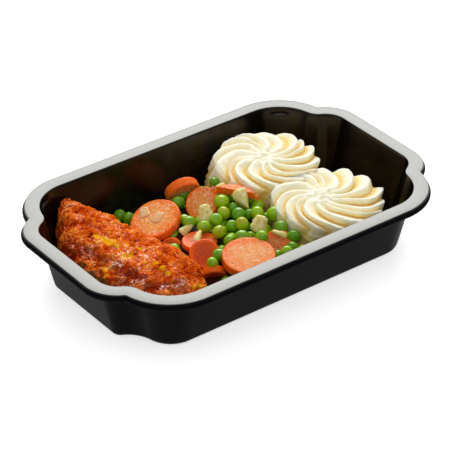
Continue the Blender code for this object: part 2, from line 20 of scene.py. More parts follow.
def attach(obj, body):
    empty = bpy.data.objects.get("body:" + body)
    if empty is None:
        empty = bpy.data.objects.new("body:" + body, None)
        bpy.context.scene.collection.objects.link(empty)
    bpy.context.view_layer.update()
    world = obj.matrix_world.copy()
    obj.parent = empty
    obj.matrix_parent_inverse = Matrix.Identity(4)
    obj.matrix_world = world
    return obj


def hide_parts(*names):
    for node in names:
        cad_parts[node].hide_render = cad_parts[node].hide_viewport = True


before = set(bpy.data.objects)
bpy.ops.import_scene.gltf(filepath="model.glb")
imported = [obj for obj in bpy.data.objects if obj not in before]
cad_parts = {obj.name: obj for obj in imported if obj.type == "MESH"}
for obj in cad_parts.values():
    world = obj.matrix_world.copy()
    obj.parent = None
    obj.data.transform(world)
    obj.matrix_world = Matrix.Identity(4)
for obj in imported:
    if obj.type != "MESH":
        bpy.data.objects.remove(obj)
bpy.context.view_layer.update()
MM = 0.001
print("CAD nodes:", len(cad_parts))

# %% [markdown]
# ## Colours, nodes and meshes
#
# Colours are read off as the sRGB values that a screen shows, while a renderer adds up light in linear
# values, so one function turns the first into the second. A second function adds one shader node with its
# settings and links, which keeps every material below a short list. A third makes a mesh from rows of
# points, because most pieces here are lofts: rows of equal length, skinned one to the next.

# %% Turn a hex colour into linear values
def linear(hex_colour):
    """Linear RGBA of an sRGB hex colour."""
    values = [int(hex_colour[at:at + 2], 16) / 255 for at in (0, 2, 4)]
    return (*[v / 12.92 if v <= 0.04045 else ((v + 0.055) / 1.055) ** 2.4 for v in values], 1.0)


# %% Add a shader node with its settings and links
def add(material, kind, inputs=None, stops=None, **settings):
    """A node of one kind; each input is a value or a socket to link, and a ramp takes its colour stops."""
    node = material.node_tree.nodes.new(kind)
    for name, value in settings.items():
        setattr(node, name, value)
    for number, (position, colour) in enumerate(stops or []):
        if number > 1:
            node.color_ramp.elements.new(position)
        node.color_ramp.elements[number].position = position
        node.color_ramp.elements[number].color = linear(colour)
    for name, value in (inputs or {}).items():
        if isinstance(value, bpy.types.NodeSocket):
            material.node_tree.links.new(value, node.inputs[name])
        else:
            node.inputs[name].default_value = value
    return node


# %% Start a material and finish it
def new_material(name):
    """An empty node material."""
    material = bpy.data.materials.new(name)
    material.use_nodes = True
    material.node_tree.nodes.clear()
    return material


def finish_material(material, **inputs):
    """Give the material its Principled shader; underscores in the names stand for spaces."""
    sockets = {name.replace("_", " "): value for name, value in inputs.items()}
    shader = add(material, "ShaderNodeBsdfPrincipled", sockets)
    add(material, "ShaderNodeOutputMaterial", {"Surface": shader.outputs[0]})
    print(material.name, "has", len(material.node_tree.nodes), "nodes")
    return material


# %% Strew ground pepper over a food
PEPPER_SPACING = 6
PEPPER_WIDTH = 0.72


def pepper_mask(material, place):
    """1 on specks of ground pepper, a few to a slice, else 0."""
    cells = add(material, "ShaderNodeTexVoronoi", {"Vector": place, "Scale": 1 / (PEPPER_SPACING * MM)})
    inputs = {0: cells.outputs["Distance"], 1: PEPPER_WIDTH / 2 / PEPPER_SPACING}
    return add(material, "ShaderNodeMath", inputs, operation="LESS_THAN").outputs[0]


# %% Make a piece from rows of points
def skin_rows(rows, closed_ends=(True, True)):
    """Points and faces of closed rows of equal length; a closed end runs to its middle."""
    count = len(rows[0])
    points = [tuple(p) for row in rows for p in row]
    faces = []
    for low in range(0, len(points) - count, count):
        for side in range(count):
            after = (side + 1) % count
            faces.append((low + side, low + after, low + count + after, low + count + side))
    for closed, start in zip(closed_ends, (0, len(points) - count)):
        if closed:
            ring = list(range(start, start + count))
            points.append(tuple(np.mean([points[i] for i in ring], axis=0)))
            for here, after in zip(ring, ring[1:] + ring[:1]):
                faces.append((here, after, len(points) - 1))
    return points, faces


def make_piece(name, points, faces, materials, sharp=60.0):
    """A smooth-shaded object from points in millimetres, its faces turned outward."""
    mesh = bpy.data.meshes.new(name)
    mesh.from_pydata([Vector(p) * MM for p in points], [], faces)
    work = bmesh.new()
    work.from_mesh(mesh)
    bmesh.ops.recalc_face_normals(work, faces=work.faces)
    work.to_mesh(mesh)
    work.free()
    for material in materials:
        mesh.materials.append(material)
    mesh.shade_smooth()
    mesh.set_sharp_from_angle(angle=math.radians(sharp))
    piece = bpy.data.objects.new(name, mesh)
    bpy.context.scene.collection.objects.link(piece)
    return piece


def keep_values(piece, name, values):
    """Store one number per point, which a material reads by its name."""
    attribute = piece.data.attributes.new(name, "FLOAT", "POINT")
    attribute.data.foreach_set("value", np.asarray(values, np.float32))


def place_piece(piece, slot, *nodes):
    """Let a piece ride on the model's one body and stand for its CAD nodes; its slot is not used."""
    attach(piece, "root")
    if nodes:
        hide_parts(*nodes)
    corners = len(piece.data.loops)
    print(piece.name, len(piece.data.polygons), "faces,", corners, "corners")


# %% [markdown]
# ## The tray
#
# The tray is black CPET, a polyester that is heated as a sheet and pulled into a mould, which is why it
# has one wall thickness all over, a draft on its walls and soft bends. In plan each corner is two round
# lobes with a notch between them. The outline is arcs that touch each other, moved in or out by an
# offset, and the section is a list of offsets and heights, so the whole tray is one loft of offset
# outlines.

# %% Plan of the tray
MOUTH_HALF_LENGTH = 104.8
MOUTH_HALF_WIDTH = 64.6
LONG_LOBE_RADIUS = 24.7
LONG_LOBE_X = 68.3
SHORT_LOBE_RADIUS = 13.2
SHORT_LOBE_Y = 26.3
NOTCH_RADIUS = 10.2
LOBE_STEPS = 22
NOTCH_STEPS = 12
LUG_MIDDLE = math.radians(52)
LUG_HALF_ANGLE = math.radians(16)


def arc(centre, radius, start, end, steps):
    """Points of an arc, both ends included; the radius may change with the angle."""
    angles = [start + (end - start) * step / steps for step in range(steps + 1)]
    return [centre + Vector((math.cos(a), math.sin(a))) * radius(a) for a in angles]


def tray_outline(offset, lug_depth=0.0):
    """Plan outline moved outward from the mouth edge by offset, counterclockwise."""
    long_lobe = Vector((LONG_LOBE_X, MOUTH_HALF_WIDTH - LONG_LOBE_RADIUS))
    short_lobe = Vector((MOUTH_HALF_LENGTH - SHORT_LOBE_RADIUS, SHORT_LOBE_Y))
    between = short_lobe - long_lobe
    reach_long = LONG_LOBE_RADIUS + NOTCH_RADIUS
    reach_short = SHORT_LOBE_RADIUS + NOTCH_RADIUS
    along = (reach_long ** 2 - reach_short ** 2 + between.length_squared) / (2 * between.length)
    direction = between.normalized()
    aside = Vector((-direction.y, direction.x)) * math.sqrt(reach_long ** 2 - along ** 2)
    notch = long_lobe + direction * along + aside
    to_short = math.atan2(notch.y - short_lobe.y, notch.x - short_lobe.x)
    to_long = math.atan2(notch.y - long_lobe.y, notch.x - long_lobe.x)

    def lobe_with_lug(angle):
        away = abs(angle - LUG_MIDDLE) / LUG_HALF_ANGLE
        return LONG_LOBE_RADIUS + offset + lug_depth * (math.cos(away * math.pi / 2) ** 2 if away < 1 else 0)

    corner = arc(short_lobe, lambda a: SHORT_LOBE_RADIUS + offset, 0, to_short, LOBE_STEPS)
    notch_turn = (to_short + math.pi, to_long + math.pi)
    corner += arc(notch, lambda a: NOTCH_RADIUS - offset, *notch_turn, NOTCH_STEPS)[1:]
    corner += arc(long_lobe, lobe_with_lug, to_long, math.pi / 2, LOBE_STEPS)[1:]
    half = corner + [Vector((-p.x, p.y)) for p in reversed(corner)]
    return half + [-p for p in half]


print("points round the tray:", len(tray_outline(0.0)))

# %% Section of the tray
TRAY_HEIGHT = 38.5
WALL = 0.8
BASE_INSET = 8.0
BASE_BEND = 5.0
BEND_STEPS = 8
RIM_WIDTH = 8.45
LIP_OUT = 1.2
RIM_DROP = 3.6
RIM_STEP_DROP = 1.6
EDGE_ROUND = 0.35
LUG_TOP = 35.6
LUG_HEIGHT = 2.6
LUG_DEPTH = 1.3
LUG_STEPS = 6
LUG_SUPPORT = 0.5
CORNER_CUT = 0.45


def wall_offset(height):
    """How far the outer face of the wall is outside the mouth edge at a height."""
    return -BASE_INSET + (BASE_INSET + WALL) * height / TRAY_HEIGHT


def base_bend(radius):
    """Offsets and heights of the bend between floor and wall."""
    slope = math.atan((BASE_INSET + WALL) / TRAY_HEIGHT)
    middle = wall_offset(BASE_BEND) - BASE_BEND / math.cos(slope)
    angles = [-math.pi / 2 + (math.pi / 2 - slope) * step / BEND_STEPS for step in range(BEND_STEPS + 1)]
    return [(middle + radius * math.cos(a), BASE_BEND + radius * math.sin(a), 0.0) for a in angles]


def lug_rows(inward):
    """Rows where the stacking lugs bulge out of the wall, after one row that keeps the wall below flat."""
    below = LUG_TOP - LUG_HEIGHT - LUG_SUPPORT
    rows = [(wall_offset(below) - inward, below, 0.0)]
    for step in range(LUG_STEPS + 1):
        height = LUG_TOP - LUG_HEIGHT * (1 - step / LUG_STEPS)
        depth = LUG_DEPTH * math.sin(math.pi * step / LUG_STEPS) ** 2
        rows.append((wall_offset(height) - inward, height, depth))
    return rows


def rounded(path, radius):
    """The path with each corner cut into a small curve, which takes less than half of a side."""
    points = [Vector(p) for p in path]
    made = [points[0]]
    for before, here, after in zip(points, points[1:], points[2:]):
        start = here.lerp(before, min(radius / (before - here).length, CORNER_CUT))
        end = here.lerp(after, min(radius / (after - here).length, CORNER_CUT))
        made += [start.lerp(here, t).lerp(here.lerp(end, t), t) for t in (0, 0.33, 0.67, 1)]
    return made + [points[-1]]


CORNER_POINTS = 4
RIM_EDGE_CORNER = 8
WALL_TOP = LUG_TOP + 0.6
UNDER_RIM = TRAY_HEIGHT - WALL
STEP_HEIGHT = TRAY_HEIGHT - RIM_STEP_DROP
SKIRT_FOOT = TRAY_HEIGHT - RIM_DROP
LIP = RIM_WIDTH + LIP_OUT
SKIRT_LEAN = 0.1
STEP_LEAN = 0.2
STEP_UNDER = 0.5
STEP_SLOPE = 0.7
RIM_PATH = [
    (wall_offset(WALL_TOP), WALL_TOP), (wall_offset(UNDER_RIM), UNDER_RIM), (RIM_WIDTH - WALL, UNDER_RIM),
    (RIM_WIDTH - WALL + SKIRT_LEAN, STEP_HEIGHT - STEP_UNDER), (LIP - WALL, SKIRT_FOOT), (LIP, SKIRT_FOOT),
    (LIP, STEP_HEIGHT - STEP_SLOPE), (RIM_WIDTH + STEP_LEAN, STEP_HEIGHT), (RIM_WIDTH, TRAY_HEIGHT),
    (0.0, TRAY_HEIGHT), (wall_offset(WALL_TOP) - WALL, WALL_TOP),
]
rim_rows = [(p.x, p.y, 0.0) for p in rounded(RIM_PATH, EDGE_ROUND)]
outside_rows = base_bend(BASE_BEND) + lug_rows(0.0)
tray_rows = outside_rows + rim_rows + lug_rows(WALL)[::-1] + base_bend(BASE_BEND - WALL)[::-1]
print("rows across the tray's section:", len(tray_rows))

# %% [markdown]
# The plastic is crystallised polyester coloured with carbon black. Where it touched the mould, outside,
# it is satin. Inside it is glossy, and the flat rim mirrors the light behind it, which is why the rim
# looks pale grey in the photo although it is black. So one function makes three finishes, which differ in
# roughness, in how much they mirror and a little in tint: the brownish black and warm sheen inside
# are painted reflection of the food. Fine upright streaks, left where the sheet stretched, break up the
# gloss of the walls. The real ones are finer than the render can show, so they are drawn about 4 mm wide.

# %% Materials of the tray
DRAW_LINE_WIDTH = 3.85
DRAW_LINE_LENGTH = 83
DRAW_LINE_DEPTH = 0.015
DRAW_LINE_CHANGE = 0.25


def black_cpet(name, colour, roughness, specular, streaked, sheen="ffffff"):
    """Black CPET; streaked, from 0 to 1, is how much the upright draw lines vary its gloss."""
    material = new_material(name)
    finish = {"Base_Color": linear(colour), "Roughness": roughness, "IOR": 1.57,
              "Specular_IOR_Level": specular, "Specular_Tint": linear(sheen)}
    if streaked:
        place = add(material, "ShaderNodeTexCoord").outputs["Object"]
        lines = [1 / (size * MM) for size in (DRAW_LINE_WIDTH, DRAW_LINE_WIDTH, DRAW_LINE_LENGTH)]
        stretched = add(material, "ShaderNodeMapping", {"Vector": place, "Scale": lines}).outputs[0]
        inputs = {"Vector": stretched, "Scale": 1.0, "Detail": 3.0}
        streaks = add(material, "ShaderNodeTexNoise", inputs).outputs[0]
        change = DRAW_LINE_CHANGE * streaked
        finish["Roughness"] = add(material, "ShaderNodeMapRange", {
            "Value": streaks, "From Min": 0.3, "From Max": 0.7,
            "To Min": roughness * (1 - change), "To Max": roughness * (1 + change),
        }).outputs[0]
        finish["Normal"] = add(material, "ShaderNodeBump", {
            "Strength": change, "Distance": DRAW_LINE_DEPTH * MM, "Height": streaks,
        }).outputs[0]
    return finish_material(material, **finish)


OUTSIDE = black_cpet("satin black CPET outside", "08080b", 0.38, 0.022, 0.15)
RIM = black_cpet("pressed black CPET rim", "161614", 0.3, 0.68, 0.0, "fffff6")
# The brownish black and the warm sheen inside are painted reflection of the food.
INSIDE = black_cpet("glossy black CPET inside", "0a0605", 0.2, 0.3, 0.8, "fff4e4")

# %% Build the tray
loops = [[(p.x, p.y, height) for p in tray_outline(offset, lug)] for offset, height, lug in tray_rows]
points, faces = skin_rows(loops)
tray = make_piece("plastic_tray", points, faces, [OUTSIDE, RIM, INSIDE], sharp=40)
per_row = len(loops[0])
rim_top_row = len(outside_rows) + 1 + CORNER_POINTS * (RIM_EDGE_CORNER - 1)
mouth_row = rim_top_row + 2 * CORNER_POINTS - 1
for face in tray.data.polygons:
    lowest_row = min(face.vertices) // per_row
    face.material_index = (lowest_row >= rim_top_row) + (lowest_row >= mouth_row)
place_piece(tray, "tray", "tray")

# %% [markdown]
# ## Keeping food inside the walls
#
# The fillet, the mash and the peas have to stay inside the sloping wall, as real food does. The push
# finds the nearest edge of the mouth outline in plan and allows as much room as the wall leaves at that
# height.

# %% Push points inside the tray
OUTLINE = np.array([tuple(p) for p in tray_outline(0.0)])
OUTLINE_STEP = np.roll(OUTLINE, -1, axis=0) - OUTLINE
KEPT = np.linalg.norm(OUTLINE_STEP, axis=1) > 1e-6
OUTLINE = OUTLINE[KEPT]
OUTLINE_STEP = OUTLINE_STEP[KEPT]
TOUCH_GAP = 0.3
FOOD_FLOOR = WALL + TOUCH_GAP
WALL_GAP = 0.5
PUSH_BATCH = 4000


def push_inside(points, margin):
    """The points, moved inward in plan where they are outside the wall's inner face less a margin."""
    points = np.array(points, float)
    step_length = (OUTLINE_STEP ** 2).sum(1)
    outward = np.stack([OUTLINE_STEP[:, 1], -OUTLINE_STEP[:, 0]], 1) / np.sqrt(step_length)[:, None]
    for start in range(0, len(points), PUSH_BATCH):
        part = points[start:start + PUSH_BATCH]
        away = part[:, None, :2] - OUTLINE
        share = np.clip((away * OUTLINE_STEP).sum(2) / step_length, 0, 1)
        rest = away - OUTLINE_STEP * share[:, :, None]
        gap = np.linalg.norm(rest, axis=2)
        closest = gap.argmin(1)
        rows = np.arange(len(part))
        normal = outward[closest]
        signed = (rest[rows, closest] * normal).sum(1)
        signed = np.where(signed < 0, -gap[rows, closest], gap[rows, closest])
        height = part[:, 2]
        limit = wall_offset(height) - WALL - margin
        bend_middle = base_bend(BASE_BEND)[0][0]
        radius = BASE_BEND - WALL - margin
        drop = np.clip(BASE_BEND - height, 0, radius)
        bend_limit = bend_middle + np.sqrt(radius ** 2 - drop ** 2)
        limit = np.where(height < BASE_BEND, np.minimum(limit, bend_limit), limit)
        excess = np.maximum(signed - limit, 0)
        part[:, :2] -= normal * excess[:, None]
        points[start:start + PUSH_BATCH] = part
    return points


print("edges of the outline:", len(OUTLINE))


# %% [markdown]
# ## The crumbed fillet
#
# A fillet of fish or chicken is long and rounded, lies along the short wall of the tray and is coated in
# coarse crumbs. It could be sculpted, but a loft across its length follows the solid closely. The crumb
# is then real relief: broad crags as in the solid, lumps about 3 mm wide, and grains about 1 mm wide,
# each one a noise that moves the points outward. A few numbers per point remember what a place is (yellow
# crumb, dark browned crest with painted shade on the left flank, bare meat darkened by painted shade),
# and the material reads them.

# %% Sections of the fillet
FILLET_STATIONS = [60, 57, 50, 40, 27, 10, -8, -25, -40, -50, -55]
FILLET_LEFT = [-73, -77, -80.5, -86.5, -94.5, -98, -98.5, -97, -91, -80, -70]
FILLET_RIGHT = [-62, -60, -57.5, -52, -49, -43, -37, -37, -43, -53, -62]
FILLET_TOP = [33.5, 34.5, 35.3, 35.5, 35, 33.5, 32.5, 31, 28, 22, 16]
FILLET_ROWS = 320
FILLET_SIDES = 300
SMOOTH_STEPS = 241
SMOOTH_WIDTH = 27
BELLY_SHARE = 0.42
SIDE_FULLNESS = 0.72
CROWN_FULLNESS = 0.85
CROWN_SLOPE = 0.10
UNDER_FULLNESS = 0.6
CRAG_SIZE = 6.5
CRAG_HEIGHT = 1.5
LUMP_SIZE = 2.6
LUMP_HEIGHT = 0.6
GRAIN_SIZE = 1.05
GRAIN_HEIGHT = 0.45
GRAIN_EDGE = 0.6
END_START = 50
END_CRAG = 1.6
CORE_X = -78.0
CORE_Z = 12.0
CORE_LENGTH = 0.85


def smooth_values(values, samples):
    """Values read between the fillet's stations, with the corners rounded off."""
    order = np.argsort(FILLET_STATIONS)
    dense = np.linspace(min(FILLET_STATIONS), max(FILLET_STATIONS), SMOOTH_STEPS)
    read = np.interp(dense, np.array(FILLET_STATIONS, float)[order], np.array(values, float)[order])
    kernel = np.hanning(SMOOTH_WIDTH)
    padded = np.pad(read, SMOOTH_WIDTH // 2, mode="reflect", reflect_type="odd")
    return np.interp(samples, dense, np.convolve(padded, kernel / kernel.sum(), mode="valid"))


def fillet_row(y, left, right, top):
    """One section across the fillet: flat underneath, steep on the left, sloping to the right."""
    middle = (left + right) / 2
    belly = FOOD_FLOOR + (top - FOOD_FLOOR) * BELLY_SHARE
    row = []
    for side in range(FILLET_SIDES):
        angle = 2 * math.pi * side / FILLET_SIDES
        across = math.copysign(abs(math.cos(angle)) ** SIDE_FULLNESS, math.cos(angle))
        up = math.sin(angle)
        if up >= 0:
            height = belly + (top - belly) * (up ** CROWN_FULLNESS - CROWN_SLOPE * (across + 1) * up)
        else:
            height = belly - (belly - FOOD_FLOOR) * abs(up) ** UNDER_FULLNESS
        row.append((middle + (right - left) / 2 * across, y, height))
    return row


# %% Shape the crumb
LUMP_TONE = 0.3
GRAIN_TONE = 0.5
CRAG_TONE = 0.12

fillet_middle = (max(FILLET_STATIONS) + min(FILLET_STATIONS)) / 2
fillet_half = (max(FILLET_STATIONS) - min(FILLET_STATIONS)) / 2
stations = fillet_middle + fillet_half * np.cos(np.linspace(0, math.pi, FILLET_ROWS))
profiles = [smooth_values(values, stations) for values in (FILLET_LEFT, FILLET_RIGHT, FILLET_TOP)]
points, faces = skin_rows([fillet_row(*section) for section in zip(stations, *profiles)])
shaped = []
crumb_height = []
for point in points:
    place = Vector(point)
    outward = (place - Vector((CORE_X, place.y * CORE_LENGTH, CORE_Z))).normalized()
    crag = noise.fractal(place / CRAG_SIZE, 0.9, 2.2, 3)
    lump = noise.fractal(place / LUMP_SIZE + Vector((7, 3, 1)), 0.8, 2.0, 2)
    near, far = noise.voronoi(place / GRAIN_SIZE)[0][:2]
    grain = min(far - near, GRAIN_EDGE) / GRAIN_EDGE
    crag *= END_CRAG if place.y > END_START else 1.0
    shaped.append(place + outward * (CRAG_HEIGHT * crag + LUMP_HEIGHT * lump + GRAIN_HEIGHT * (grain - 0.5)))
    crumb_height.append(0.5 + LUMP_TONE * lump + GRAIN_TONE * (grain - 0.5) + CRAG_TONE * crag)
shaped = np.array(shaped)
shaped[:, 2] = np.maximum(shaped[:, 2], FOOD_FLOOR)
fillet_points = push_inside(shaped, WALL_GAP)
print("fillet points:", len(fillet_points))

# %% [markdown]
# Frying leaves some crumb yellow and browns some dark red, and the fillet's lower edges show where the
# coating ends and pale meat begins. The left flank faces away from the light, so the dark spots there and
# the meat's colours are painted shade. Places are given as spots: a middle and a reach in millimetres. A
# spot's strength falls off with distance and is broken up by noise, so no spot has a clean edge.

# %% Mark yellow crumb, dark crests and bare meat, with painted shade on the left flank
YELLOW_SPOTS = [
    ((-76, 16.5, 32.5), 2.4), ((-74.5, 12.5, 32), 3.0), ((-73, 8.5, 31.5), 3.0), ((-71.5, 5, 31), 2.2),
    ((-75, -7.5, 31), 2.2), ((-71, -7, 31), 2.0), ((-64, -21, 29.6), 1.7), ((-63.3, -25.5, 29), 1.8),
    ((-62.8, -30, 28.2), 1.5), ((-83.5, 30, 32.5), 1.6), ((-86.3, 31, 31.2), 1.2),
    ((-87.5, -7.5, 28.8), 1.9), ((-85, -8.3, 29.5), 1.2), ((-90.2, -12, 27.7), 1.6), ((-91, 34, 22.5), 3),
    ((-49.6, -41.7, 21), 2.8), ((-55, -43.2, 22), 2.2), ((-62.6, -4.1, 30), 1.6), ((-67.5, 2, 30.5), 1.8),
    ((-75, 54, 34), 2), ((-68.3, 56.6, 33.4), 1.8), ((-84, -29, 28.6), 1.2),
]
# Browned crests, and painted shade on the left flank, which faces away from the light; the last two spots,
# low on that flank, are painted shade only.
BROWNED_AND_SHADE_SPOTS = [
    ((-81.4, -10.5, 30.4), 4.5), ((-80.4, -18.3, 29.7), 7), ((-79.6, -26.3, 28.6), 7), ((-84, -2, 30), 5),
    ((-87, 10, 29), 6), ((-91, 18, 27), 7), ((-92, 27, 27), 5), ((-62.2, -40, 25.7), 5.5),
    ((-69.7, -37, 27), 4), ((-76, -33, 27), 6), ((-84, 43, 29), 5), ((-87, -24, 27), 6),
    ((-71, 50, 34), 3), ((-94, 38, 20), 9), ((-96, 20, 18), 9),
]
# Bare meat low on the left flank, which faces away from the light; its dark colour is painted shade over
# pale meat.
MEAT_AND_SHADE_SPOTS = [
    ((-94, 5, 25), 3.5), ((-95, -4, 24), 4.5), ((-94, -12, 23.5), 4.5), ((-92, -20, 24), 3),
    ((-94, 30, 22), 3), ((-98, 0, 13), 10), ((-96, -16, 12), 10), ((-97, 30, 13), 9), ((-89, -32, 11), 9),
]
SPOT_EDGE = 1.15
SPOT_FADE = 0.5
RAGGED_SIZE = 4.0
RAGGED_SHARE = 0.55


def spot_strength(points, spots, ragged):
    """0 to 1 for each point: 1 in the middle of a spot, 0 beyond its ragged edge."""
    strength = np.zeros(len(points))
    for middle, reach in spots:
        away = np.linalg.norm(points - np.array(middle, float), axis=1) / reach
        strength = np.maximum(strength, np.clip((SPOT_EDGE - away + ragged) / SPOT_FADE, 0, 1))
    return strength


ragged = np.array([noise.fractal(Vector(p) / RAGGED_SIZE, 0.8, 2.1, 3) for p in fillet_points])
ragged *= RAGGED_SHARE
print("spots:", len(YELLOW_SPOTS), "yellow,", len(BROWNED_AND_SHADE_SPOTS), "dark,", len(MEAT_AND_SHADE_SPOTS), "bare")

# %% [markdown]
# Browned crumb is mostly oil and sugar cooked to caramel. The crumbs that stand out are orange, and the
# gaps between them are red brown, partly the coating's own colour and partly painted shade, so the ramp
# follows the crumb's own height plus noise: grains 1.6 mm wide and toasted patches 9 mm wide. Oil lies in
# drops about 1 mm wide, most of all on the darkest crumb, and gives wet, sharp glints between matt crumb.

# %% Material of the crumb
TONE_GRAIN = 1.6
TOASTED_PATCH = 9
OIL_DROP = 1.1
BROWNED_AND_SHADE_SHARE = 0.7

crumb = new_material("oily browned breadcrumb")
place = add(crumb, "ShaderNodeTexCoord").outputs["Object"]
grain, patch, fine = [
    add(crumb, "ShaderNodeTexNoise", {
        "Vector": place, "Scale": 1 / (size * MM), "Detail": detail,
    }).outputs[0]
    for size, detail in ((TONE_GRAIN, 3.0), (TOASTED_PATCH, 3.0), (OIL_DROP, 2.0))
]
crest, yellow, browned_and_shade, meat_and_shade = [
    add(crumb, "ShaderNodeAttribute", attribute_name=name).outputs["Fac"]
    for name in ("crumb_height", "yellow", "browned_and_shade", "meat_and_shade")
]
base = add(crumb, "ShaderNodeMath", {0: patch, 1: 1.4, 2: crest}, operation="MULTIPLY_ADD").outputs[0]
mixed = add(crumb, "ShaderNodeMath", {0: grain, 1: 0.9, 2: base}, operation="MULTIPLY_ADD").outputs[0]
tone = add(crumb, "ShaderNodeMapRange", {"Value": mixed, "From Min": 1.15, "From Max": 2.1}).outputs[0]
# The dark end of this ramp, where the crumb lies low, is painted shade in the gaps between crumbs.
browned_and_gap_shade = add(crumb, "ShaderNodeValToRGB", {"Fac": tone}, stops=[
    (0.0, "821c06"), (0.2, "ac360a"), (0.4, "d0500e"), (0.6, "e66c18"), (0.82, "ee8624"), (1.0, "f4a23a"),
]).outputs[0]
golden = add(crumb, "ShaderNodeValToRGB", {"Fac": grain}, stops=[
    (0.3, "e08a0c"), (0.5, "f4ae14"), (0.75, "dc6c10"),
]).outputs[0]
with_yellow = add(crumb, "ShaderNodeMix", {0: yellow, 6: browned_and_gap_shade, 7: golden}, data_type="RGBA").outputs[2]
# Dark red brown of browned crumb, and painted shade where the spots lie on the left flank.
burnt_and_shade = linear("781a06")
with_dark = add(crumb, "ShaderNodeMix", {0: browned_and_shade, 6: with_yellow, 7: burnt_and_shade}, data_type="RGBA").outputs[2]
# These dark browns are pale meat with painted shade, since the meat shows only on the shaded left flank.
flesh = add(crumb, "ShaderNodeValToRGB", {"Fac": grain}, stops=[
    (0.3, "58220a"), (0.6, "986030"), (0.8, "763810"),
]).outputs[0]
colour = add(crumb, "ShaderNodeMix", {0: meat_and_shade, 6: with_dark, 7: flesh}, data_type="RGBA").outputs[2]
bump = add(crumb, "ShaderNodeBump", {"Strength": 0.8, "Distance": 0.5 * MM, "Height": fine}).outputs[0]
oily = add(crumb, "ShaderNodeMath", {0: patch, 1: 0.6, 2: fine}, operation="MULTIPLY_ADD").outputs[0]
oilier = add(crumb, "ShaderNodeMath", {0: browned_and_shade, 1: 0.06, 2: oily}, operation="MULTIPLY_ADD").outputs[0]
wet = add(crumb, "ShaderNodeMapRange", {"Value": oilier, "From Min": 0.9, "From Max": 0.97}).outputs[0]
rough = add(crumb, "ShaderNodeMapRange", {"Value": wet, "To Min": 0.6, "To Max": 0.26}).outputs[0]
shine = add(crumb, "ShaderNodeMapRange", {"Value": wet, "To Min": 0.0, "To Max": 0.9}).outputs[0]
finish_material(crumb, Base_Color=colour, Roughness=rough, IOR=1.47, Specular_IOR_Level=shine, Normal=bump)

# %% Build the fillet
fillet = make_piece("breaded_fillet", fillet_points, faces, [crumb], sharp=180)
keep_values(fillet, "crumb_height", crumb_height)
keep_values(fillet, "yellow", spot_strength(fillet_points, YELLOW_SPOTS, ragged))
keep_values(fillet, "browned_and_shade", spot_strength(fillet_points, BROWNED_AND_SHADE_SPOTS, ragged) * BROWNED_AND_SHADE_SHARE)
keep_values(fillet, "meat_and_shade", spot_strength(fillet_points, MEAT_AND_SHADE_SPOTS, ragged))
place_piece(fillet, "crumb", "crumbed_fillet")

# %% [markdown]
# ## The mashed potato
#
# The mash is piped through a star nozzle that turns as it lifts, so each rosette has fourteen ridges that
# leave the middle straight and sweep round near the edge. Each ridge has a steep side and a gentle side,
# which round off into its crest and into the valleys, and no two ridges are quite as wide or as high. A
# loft round the rosette, row by row from the middle outward and down, gives all of that from a handful of
# numbers. Below the ring the side is crumbly, where the nozzle tore away. Mash is soft, so the two
# rosettes run into each other a little where they meet.

# %% Shape of a rosette
RIDGES = 14
RIDGE_CREST = 0.34
RIDGE_FULLNESS = 0.8
RIDGE_SWEEP = math.radians(52)
RIDGE_DEPTH = 3.4
RIDGE_INWARD = 0.5
RIDGE_WIDTH_SPREAD = 0.22
RIDGE_LIFTS = (-0.9, 0.4)
RIDGE_WANDER = math.radians(12)
WANDER_ROUND = 1.6
WANDER_OUT = 2.5
SWEEP_POWER = 2.2
FOOT_START = 0.6
FOOT_FADE = 0.2
FOOT_FLATTER = 0.6
TORN_WIDTH = 4
TORN_RISE = 2
TORN_DEPTH = 1.3
CURD_SIZE = 2.4
CURD_HEIGHT = 0.2
NUB_REACH = 0.4
NUB_SIZE = 3.4
NUB_HEIGHT = 3.0
# Below this height, and at the foot, the mash is painted a deeper yellow as shade.
LOW_SHADE_LEVEL = 25.0
LOW_SHADE_FADE = 7.0
VALLEY_POWER = 1.6
FOOT_SHADE = 0.55
TORN_TONE = 0.3
LOW_SHADE_TONE = 0.4
ROSETTE_SEED = 11
RIDGE_SAMPLES = 22
ROSETTE_ROWS = 90
ROSETTE_RADII = [0.0, 0.22, 0.42, 0.62, 0.80, 0.93, 1.00, 0.98, 0.96, 0.99, 0.96]
ROSETTE_HEIGHTS = [0.955, 0.965, 0.975, 0.975, 0.965, 0.94, 0.89, 0.70, 0.46, 0.20, 0.0]
ROSETTE_RIDGES = [0.0, 0.12, 0.7, 0.95, 1.0, 1.0, 1.0, 0.75, 0.45, 0.2, 0.0]
BACK_ROSETTE = {
    "centre": (46.0, 26.5), "radius": 31.0, "peak": 35.5,
    "rim_shift": (1.7, -0.5), "foot_shift": (-3.0, 2.5),
}
FRONT_ROSETTE = {
    "centre": (45.5, -22.5), "radius": 32.0, "peak": 33.8,
    "rim_shift": (5.8, -3.0), "foot_shift": (4.0, -2.0),
}


def ridge_height(phase):
    """Section across one ridge: a steep side up to the crest, then a gentle side down, both rounded."""
    if phase < RIDGE_CREST:
        turn = phase / RIDGE_CREST / 2
    else:
        turn = (1 + (phase - RIDGE_CREST) / (1 - RIDGE_CREST)) / 2
    return (0.5 - 0.5 * math.cos(2 * math.pi * turn)) ** RIDGE_FULLNESS


